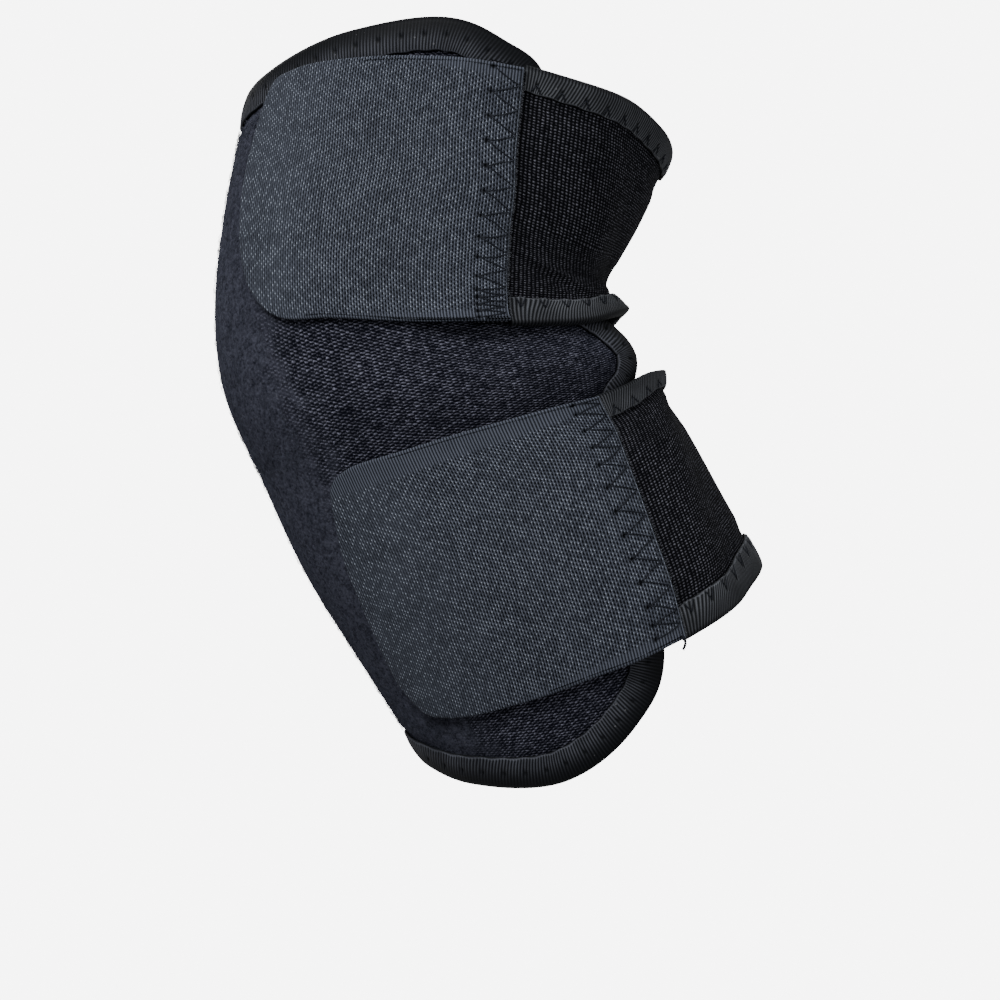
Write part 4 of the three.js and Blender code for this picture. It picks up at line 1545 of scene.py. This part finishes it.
UPPER_RUN = ColumnTable(
    keys=(-92, -45, 0, 25, 45, 68, 95),
    columns={
        "inner": (0.0, 0.02, -0.07, -0.015, 0.025, 0.0, -0.02),
        "outer": (0.045, 0.08, 0.1, 0.05, 0.005, 0.0, 0.0),
    },
)
LOWER_RUN = ColumnTable(
    keys=(-92, -45, 0, 25, 40, 60, 90),
    columns={
        "inner": (0.0, 0.05, 0.09, 0.09, 0.03, 0.0, -0.02),
        "outer": (0.05, 0.07, 0.08, 0.05, 0.015, 0.005, 0.0),
    },
)
UPPER_TAB = (
    (92, 0.03), (112, 0.05), (130, 0.06), (140.5, 0.14), (147, 0.27), (150, 0.42),
    (149.5, 0.63), (147, 0.765), (139, 0.83), (117, 0.915), (95, 0.975),
)
LOWER_TAB = (
    (80, -0.025), (105, -0.02), (124, -0.01), (131, 0.03), (134.5, 0.11), (140, 0.28),
    (145.5, 0.52), (148, 0.7), (145.5, 0.82), (137, 0.885), (112, 0.95), (85, 0.985),
)
UPPER_SEAM = ColumnTable(
    keys=(0, 0.15, 0.3, 0.5, 0.7, 1),
    columns={"around": (67.2, 64.6, 63.2, 66.5, 71.5, 77.0)},
)
LOWER_SEAM = ColumnTable(
    keys=(0, 0.2, 0.4, 0.6, 0.8, 1),
    columns={"around": (52.2, 52.5, 55.2, 58.0, 61.0, 65.3)},
)


@dataclass(frozen=True)
class SeamZigzag:
    """The zigzag that sews a tab to its strap, in millimetres past the seam and across the strap."""

    near: float = 0.5
    far: float = 6.1
    pitch: float = 5.75
    tacked_inner: float = 9.0
    tacked_outer: float = 4.0
    tack_pitch: float = 1.9
    lean: float = 0.0

    def corners(self) -> list[tuple[float, float]]:
        """Corners of the zigzag from the inner edge to the outer one.

        Returns:
            Millimetres past the seam and from the inner edge, corner by corner.
        """
        margin = 1.2
        found, at, far = [], margin, True
        while at < CUT.strap_width - margin:
            tacked = at < self.tacked_inner or at > CUT.strap_width - self.tacked_outer
            found.append((self.far if far else self.near, at + (self.lean if far else 0.0)))
            at += 0.5 * (self.tack_pitch if tacked else self.pitch)
            far = not far
        return found


@dataclass
class Strap:
    """An elastic strap with its two tapes and its hook tab. up is 1 above the elbow and -1 below it."""

    name: str
    up: int
    inner_edge: float
    run: ColumnTable
    tab_rows: tuple[tuple[float, float], ...]
    tab_corners: tuple[int, int]
    seam: ColumnTable
    zigzag: SeamZigzag
    root: float = -92.0
    columns: int = 190
    rows: int = 70
    outer_cover: float = 5.0
    outer_stitch: float = 2.9
    rim_steps: tuple[float, ...] = (0.0, 2.5, 5.0, 6.8, 7.6, 8.4, 9.4)
    full_from: float = 10.8
    selvedge: tuple[float, float] = (3.2, 4.4)
    sparse: tuple[float, float] = (36.0, 60.0)
    fray_fibres: int = 420

    def __post_init__(self) -> None:
        """Measure lengths round the strap at a table of shares."""
        self.turns = np.radians(np.linspace(-96, 156, 505))
        self.shares = np.linspace(-0.1, 1.1, 25)
        places = self.place(self.turns[:, None], self.shares[None, :])
        spots = ARM.skin(places[..., 0], places[..., 1])
        steps = np.linalg.norm(np.diff(spots, axis=0), axis=2)
        self.lengths = np.vstack([np.zeros(len(self.shares)), np.cumsum(steps, axis=0)])
        seam = self.seam_at(self.shares)
        self.lengths -= [np.interp(seam[k], self.turns, self.lengths[:, k]) for k in range(len(self.shares))]

    def place(self, around: Array, share: Array) -> Array:
        """Places at a turn around and a share of the width from the inner edge.

        Args:
            around: Radians around the arm.
            share: Shares of the width.

        Returns:
            The places.
        """
        turned = np.degrees(around)
        inner = self.run.at("inner", turned) * CUT.strap_width
        outer = (1 - self.run.at("outer", turned)) * CUT.strap_width
        along = self.inner_edge + self.up * (-inner * (1 - share) + outer * share)
        return np.stack(np.broadcast_arrays(around, along), axis=-1)

    def share_of(self, place: Array) -> Array:
        """Shares of the width at places.

        Args:
            place: Places as (..., 2).

        Returns:
            The shares, 0 at the inner edge and 1 at the outer one.
        """
        turned = np.degrees(place[..., 0])
        inner = self.run.at("inner", turned) * CUT.strap_width
        outer = (1 - self.run.at("outer", turned)) * CUT.strap_width
        return (self.up * (place[..., 1] - self.inner_edge) + inner) / (inner + outer)

    def seam_at(self, share: Array) -> Array:
        """The tab's seam, in radians around, at shares of the width."""
        return np.radians(self.seam.at("around", share))

    def past_seam(self, share: Array, length: Array) -> Array:
        """Places a length past the seam, towards the free end.

        Args:
            share: Shares of the width.
            length: Millimetres past the seam.

        Returns:
            The places.
        """
        at = self.place(self.seam_at(share), share)
        arc = ARM.arc(at[..., 0], at[..., 1])
        return self.place(at[..., 0] + length / arc, share)

    def cloth_at(self, place: Array) -> Array:
        """Cloth coordinates of places: length past the seam and width from the inner edge.

        Args:
            place: Places as (..., 2).

        Returns:
            The coordinates in millimetres.
        """
        share = self.share_of(place)
        turn_step, share_step = self.turns[1] - self.turns[0], self.shares[1] - self.shares[0]
        i = np.clip((place[..., 0] - self.turns[0]) / turn_step, 0, len(self.turns) - 1.001)
        j = np.clip((share - self.shares[0]) / share_step, 0, len(self.shares) - 1.001)
        a, b = i.astype(int), j.astype(int)
        u, v = i - a, j - b
        low = self.lengths[a, b] * (1 - v) + self.lengths[a, b + 1] * v
        high = self.lengths[a + 1, b] * (1 - v) + self.lengths[a + 1, b + 1] * v
        return np.stack([low * (1 - u) + high * u, share * CUT.strap_width], axis=-1)

    def station(self, t: Array, share: Array) -> Array:
        """Places on the strap, t running from its root at 0 to the seam at 1."""
        bound = self.past_seam(share, -CUT.gap + 0 * share)[..., 0]
        return self.place(math.radians(self.root) * (1 - t) + bound * t, share)

    def width_at(self, t: Array) -> Array:
        """The strap's width on the skin at stations t.

        Args:
            t: Stations, 0 at the root and 1 at the seam.

        Returns:
            Widths in millimetres.
        """
        shares = np.linspace(0, 1, 9)[None, :] + 0 * t[:, None]
        places = self.station(t[:, None] + 0 * shares, shares)
        spots = ARM.skin(places[..., 0], places[..., 1])
        return np.linalg.norm(np.diff(spots, axis=1), axis=2).sum(1)

    def build(self, finishes: Finishes) -> None:
        """Make the strap, its tapes, its tab and the seam between them.

        Args:
            finishes: All the finishes.
        """
        self._strap(finishes.strap_knit)
        outer_sizes = {"cover": self.outer_cover, "stitch_from": self.outer_stitch}
        for side, sizes in (("inner", {}), ("outer", outer_sizes)):
            edge = self._edge(side == "outer")
            tape = FoldedTape(f"{self.name}_{side}_tape", edge, sewn_on_top=True, **sizes)
            tape.build(finishes.strap_tape, finishes.thread, f"{self.name}_{side}_binding")
        self._tab(finishes.hook_tape)
        self._seam(finishes.thread)
        self._fray(finishes.fray)

    def _strap(self, finish: bpy.types.Material) -> None:
        """Make the strap's own cloth.

        Args:
            finish: The strap's finish.
        """
        t = np.concatenate([np.linspace(0, 1, self.columns), [1.0]])
        width = self.width_at(t)[:, None]
        near = np.array(self.rim_steps)[None, :]
        middle = np.linspace(0, 1, self.rows)[None, :]
        low, high = self.full_from / width, 1 - self.full_from / width
        share = np.hstack([near / width, low * (1 - middle) + high * middle, 1 - near[:, ::-1] / width])
        places = self.station(t[:, None] + 0 * share, share)
        places[-1] = self.past_seam(share[-1], CUT.tab_lap + 0 * share[-1])
        full = smoothstep(np.minimum(share, 1 - share) * width, CUT.tape_cover, self.full_from)
        full[-1] = 0
        base = OUTLINE.strap_base(places)
        low_face = base + CUT.build * (1 - full)
        high_face = base + CUT.build + CUT.strap_rim + (CUT.strap_thick - CUT.build - CUT.strap_rim) * full
        if self.up < 0:
            places, low_face, high_face = places[:, ::-1], low_face[:, ::-1], high_face[:, ::-1]
        cloth = Cloth(f"{self.name}_strap_cloth")
        slab(cloth, [], (places[::-1], low_face[::-1], high_face[::-1]), self.dress_strap)
        piece = cloth.mesh_object(finish)
        settle(piece, Slot.STRAP_KNIT, f"{self.name}_strap")

    def dress_strap(self, place: Array) -> tuple[Array, dict[str, Array]]:
        """Cloth coordinates of the strap, which has no masks."""
        return self.cloth_at(place), {}

    def _edge(self, outer: bool) -> Edge:
        """One of the strap's two edges.

        Args:
            outer: Whether it is the edge away from the elbow.

        Returns:
            The edge that the tape is folded over.
        """
        t = np.linspace(0, 1, 400)
        width = self.width_at(t)
        line = self.station(t, np.full_like(t, 1.0 if outer else 0.0))
        reached = lengths_along(ARM.skin(line[:, 0], line[:, 1]))
        from_root = outer == (self.up > 0)

        def place_at(reach: Array, inward: Array) -> Array:
            """Places on the strap's edge, stepped inwards along its columns.

            Args:
                reach: Millimetres along the edge.
                inward: Millimetres in from it.

            Returns:
                The places.
            """
            way = reach if from_root else reached[-1] - reach
            at = np.interp(way, reached, t)
            share = inward / np.interp(at, t, width)
            return self.station(at, 1 - share if outer else share)

        return Edge(place_at, float(reached[-1]), False, OUTLINE.strap_base, CUT.strap_rim)

    def tab_sides(self, across: int, along: int) -> Sides:
        """The tab's four sides, the seam among them.

        Args:
            across: Cells from the seam to the free end.
            along: Cells along the seam.

        Returns:
            The four sides.
        """
        seam = self.place(self.seam_at(np.linspace(0, 1, along + 1)), np.linspace(0, 1, along + 1))
        free = [(math.radians(a), self.inner_edge + self.up * s * CUT.strap_width) for a, s in self.tab_rows]
        curve = PlaceCurve([tuple(seam[0]), *free, tuple(seam[-1])], closed=False)
        first, second = (1 + c for c in self.tab_corners)
        inner = even_places(curve, 0, first, across)
        outer = even_places(curve, len(free) + 1, second, across)
        end = even_places(curve, first, second, along)
        if self.up > 0:
            return Sides(bottom=inner, end=end, top=outer, start=seam).from_outside()
        return Sides(bottom=outer, end=end[::-1], top=inner, start=seam[::-1]).from_outside()

    def tab_base(self, place: Array) -> Array:
        """Height at which the tab lies: on the strap at its seam, then down on the panel.

        Args:
            place: Places as (..., 2).

        Returns:
            Heights over the skin in millimetres.
        """
        share = np.clip(self.up * (place[..., 1] - self.inner_edge) / CUT.strap_width, 0, 1)
        past = (place[..., 0] - self.seam_at(share)) * ARM.arc(place[..., 0], place[..., 1])
        start = CUT.tab_lap + CUT.tab_flat
        settled = smoothstep(past, start, start + CUT.tab_settle)
        on_strap = CUT.strap_rim + 2 * CUT.build + CUT.layer_gap
        clear, wave = 0.15, 0.12
        ripple = wave * np.sin(np.degrees(place[..., 0]) / 5.5 + 2.2 * share) * np.sin(8.0 * share + 0.6)
        return OUTLINE.strap_base(place) + on_strap * (1 - settled) + settled * (clear + ripple)

    def pricked(self, place: Array) -> Array:
        """How deep a place lies in one of the seam's needle holes, from 0 to 1.

        Args:
            place: Places as (..., 2).

        Returns:
            The shares.
        """
        at = self.cloth_at(place)
        beyond, fullness, radius = 0.4, 1.4, 0.55
        depth = np.zeros(place.shape[:-1])
        for past, across in self.zigzag.corners():
            if past == self.zigzag.far:
                away = (at[..., 0] - past - beyond) ** 2 + (at[..., 1] - across) ** 2
                depth = np.maximum(depth, np.minimum(1, fullness * np.exp(-away / radius**2)))
        return depth

    def dress_tab(self, place: Array) -> tuple[Array, dict[str, Array]]:
        """Cloth coordinates and masks of the tab.

        Args:
            place: Places as (..., 2).

        Returns:
            Coordinates in millimetres, and masks by name.
        """
        at = self.cloth_at(place)
        share = self.up * (place[..., 1] - self.inner_edge) / CUT.strap_width
        margin = np.minimum(share, 1 - share) * CUT.strap_width
        masks = {
            "selvedge": 1 - smoothstep(margin, *self.selvedge),
            "fray": 1 - smoothstep(at[..., 0], 0.1, 0.7),
            "pricked": self.pricked(place),
            "sparse": 0.8 * smoothstep(at[..., 0], *self.sparse),
        }
        return at, masks

    def _tab(self, finish: bpy.types.Material) -> None:
        """Make the hook tab.

        Args:
            finish: The tab's finish.
        """
        across, along, rim, dimple = 150, 130, 1.0, 0.5
        outline = self.tab_sides(across, along).outline()
        rings = []
        for step, thin in ((0.0, 0.5), (0.1, 0.22), (0.3, 0.06), (0.6, 0.0)):
            ring = inset(outline, step) if step else outline
            base = self.tab_base(ring)
            rings.append((ring, base + CUT.tab_thick * thin * 0.8, base + CUT.tab_thick * (1 - thin)))
        inner = Sides.of_ring(inset(outline, rim), across, along).grid()
        base = self.tab_base(inner)
        top = base + CUT.tab_thick - dimple * self.pricked(inner)
        cloth = Cloth(f"{self.name}_tab_cloth")
        slab(cloth, rings, (inner, base, top), self.dress_tab)
        piece = cloth.mesh_object(finish)
        settle(piece, Slot.HOOK_TAPE, f"{self.name}_hook_tab")

    def _seam(self, finish: bpy.types.Material) -> None:
        """Sew the tab down with a zigzag, and leave a thread end hanging from the lower seam.

        Args:
            finish: The thread's finish.
        """
        cloth, thread = Cloth(f"{self.name}_seam_stitches"), TwistedThread()
        rng = np.random.default_rng(11 + self.up)
        t = np.linspace(0, 1, 15)
        corners = self.zigzag.corners()
        for (u0, v0), (u1, v1) in zip(corners, corners[1:]):
            sway = 0.3 * rng.normal() * np.sin(math.pi * t)
            share = (v0 + (v1 - v0) * t + sway) / CUT.strap_width
            place = self.past_seam(share, u0 + (u1 - u0) * t)
            lift = 0.12 - 0.5 * np.abs(2 * t - 1) ** 6
            thread.sew(cloth, place, self.tab_base(place) + CUT.tab_thick + lift)
        if self.up < 0:
            self._loose_end(cloth)
        settle(cloth.mesh_object(finish), Slot.BINDING_TAPE)
        self._root_seam(finish)

    def _root_seam(self, finish: bpy.types.Material) -> None:
        """Sew the strap's root to the panel with a close zigzag.

        Args:
            finish: The thread's finish.
        """
        cloth, thread = Cloth(f"{self.name}_root_stitches"), TwistedThread()
        margin, pitch, near, depth = 8.8, 2.1, 1.4, 4.2
        corners = np.arange(margin, CUT.strap_width - margin, pitch)
        t = np.linspace(0, 1, 9)
        for k, (start, stop) in enumerate(zip(corners, corners[1:])):
            share = (start + (stop - start) * t) / CUT.strap_width
            reach = near + depth * (t if k % 2 else 1 - t)
            edge = self.place(np.full_like(share, math.radians(self.root)), share)
            place = self.place(edge[:, 0] + reach / ARM.arc(edge[:, 0], edge[:, 1]), share)
            lift = CUT.strap_thick + 0.1 - 0.45 * np.abs(2 * t - 1) ** 6
            thread.sew(cloth, place, OUTLINE.strap_base(place) + lift)
        settle(cloth.mesh_object(finish), Slot.BINDING_TAPE)

    def _loose_end(self, cloth: Cloth) -> None:
        """Hang a short cut end of thread from the corner of the seam.

        Args:
            cloth: The mesh to add to.
        """
        length, ply = 3.2, 0.23
        place = self.past_seam(np.array([0.985]), np.array([0.9]))
        start = ARM.above(place, self.tab_base(place) + CUT.tab_thick + 0.1)[0]
        out = ARM.directions(place[:, 0], place[:, 1])[2][0]
        t = np.linspace(0, 1, 18)[:, None]
        sway = np.array([0.45, 0.0, 0.0]) * np.sin(2.6 * t) + out * 0.8 * np.sin(math.pi * t)
        points = start + sway + np.array([0.0, 0.0, -length]) * t
        TwistedThread(ply=ply).run(cloth, points, np.tile([0.0, -1.0, 0.0], (len(t), 1)))

    def _fray(self, finish: bpy.types.Material) -> None:
        """Lay short pale fibres along the tab's sewn edge.

        Args:
            finish: The fibres' finish.
        """
        rng = np.random.default_rng(23 + self.up)
        count = self.fray_fibres
        share = rng.uniform(0.01, 0.99, count)
        places = self.past_seam(share, rng.uniform(0.0, 0.25, count))
        heights = self.tab_base(places) + rng.uniform(0.5, 1.0, count) * CUT.tab_thick
        ways = math.pi + rng.normal(0, 0.8, count)
        cloth = Cloth(f"{self.name}_tab_fray")
        FibreSpread(length=(0.3, 0.8), lift=(-0.1, 0.2), radius=0.028).lay(cloth, places, ways, heights, rng)
        settle(cloth.mesh_object(finish), Slot.HOOK_TAPE)


@dataclass
class Studio:
    """White surroundings, a pale floor far below, soft light and the photograph's camera."""

    distance: float = 0.75
    frame_width: float = 0.25
    centre: tuple[float, float] = (0.0175, -0.037)
    floor_z: float = -1.25
    floor_reach: float = 6.0
    sensor: float = 36.0
    lamps: tuple[tuple[str, tuple[float, float, float], float, float], ...] = (
        ("key", (-0.38, -0.58, 0.56), 0.45, 12.6),
        ("fill", (0.7, -0.8, 0.1), 0.8, 5.0),
        ("rim", (-0.3, 0.8, 0.6), 0.7, 4.0),
    )

    def build(self) -> None:
        """Set the camera, the floor, the world and the lights."""
        camera = bpy.data.cameras.new("camera")
        camera.sensor_width = self.sensor
        camera.lens = self.sensor * self.distance / self.frame_width
        eye = bpy.data.objects.new("camera", camera)
        eye.location = (self.centre[0], -self.distance, self.centre[1])
        eye.rotation_euler = (math.pi / 2, 0, 0)
        bpy.context.scene.collection.objects.link(eye)
        bpy.context.scene.camera = eye
        self._floor()
        self._world()
        for lamp in self.lamps:
            self._light(*lamp)

    @staticmethod
    def _world() -> None:
        """Make the surroundings white to look at and softer as a light."""
        world = bpy.data.worlds.new("studio")
        world.use_nodes = True
        tree = world.node_tree
        seen = node(tree, "ShaderNodeLightPath", {}).outputs["Is Camera Ray"]
        coords = node(tree, "ShaderNodeTexCoord", {}).outputs["Generated"]
        way = node(tree, "ShaderNodeSeparateXYZ", {0: coords})
        light, backdrop = maths(tree, "MULTIPLY_ADD", ramp(tree, way.outputs[2], -1.0, 1.0), 0.5, 0.1), 7.0
        strength = blend(tree, seen, light, backdrop)
        tree.links.new(strength, tree.nodes["Background"].inputs[1])
        tree.nodes["Background"].inputs[0].default_value = (1.0, 1.0, 1.0, 1.0)
        bpy.context.scene.world = world

    def _floor(self) -> None:
        """Lay the plain pale floor."""
        mesh = bpy.data.meshes.new("floor")
        size = self.floor_reach
        corners = [(-size, -size, 0), (size, -size, 0), (size, size, 0), (-size, size, 0)]
        mesh.from_pydata(corners, [], [(0, 1, 2, 3)])
        finish = Finish("floor", roughness=0.9, gloss=0.1)
        finish.shader.inputs["Base Color"].default_value = (0.72, 0.72, 0.73, 1.0)
        mesh.materials.append(finish.material)
        floor = bpy.data.objects.new("floor", mesh)
        floor.location.z = self.floor_z
        bpy.context.scene.collection.objects.link(floor)

    @staticmethod
    def _light(name: str, place: tuple[float, float, float], size: float, power: float) -> None:
        """Hang a soft square light that looks at the brace.

        Args:
            name: The lamp's name.
            place: Where it hangs, in metres.
            size: The square's side in metres.
            power: Its power in watts.
        """
        lamp = bpy.data.lights.new(name, "AREA")
        lamp.size = size
        lamp.energy = power
        thing = bpy.data.objects.new(name, lamp)
        thing.location = place
        way = -np.array(place)
        tilt = math.acos(-way[2] / np.linalg.norm(way))
        thing.rotation_euler = (tilt, 0, math.atan2(way[1], way[0]) - math.pi / 2)
        bpy.context.scene.collection.objects.link(thing)


def main() -> None:
    """Build the brace, piece by piece."""
    logging.basicConfig(level=logging.INFO, format="%(name)s: %(message)s")
    Studio().build()
    finishes = Finishes.make()
    Panel().build(finishes)
    Strap(
        "upper",
        1,
        CUT.upper_inner,
        UPPER_RUN,
        UPPER_TAB,
        tab_corners=(2, 7),
        seam=UPPER_SEAM,
        zigzag=SeamZigzag(),
    ).build(finishes)
    Strap(
        "lower",
        -1,
        CUT.lower_inner,
        LOWER_RUN,
        LOWER_TAB,
        tab_corners=(2, 8),
        seam=LOWER_SEAM,
        zigzag=SeamZigzag(tacked_inner=3.0, tacked_outer=7.0, tack_pitch=3.2, lean=-1.1),
        outer_cover=6.6,
        outer_stitch=4.0,
    ).build(finishes)


if __name__ == "__main__":
    main()
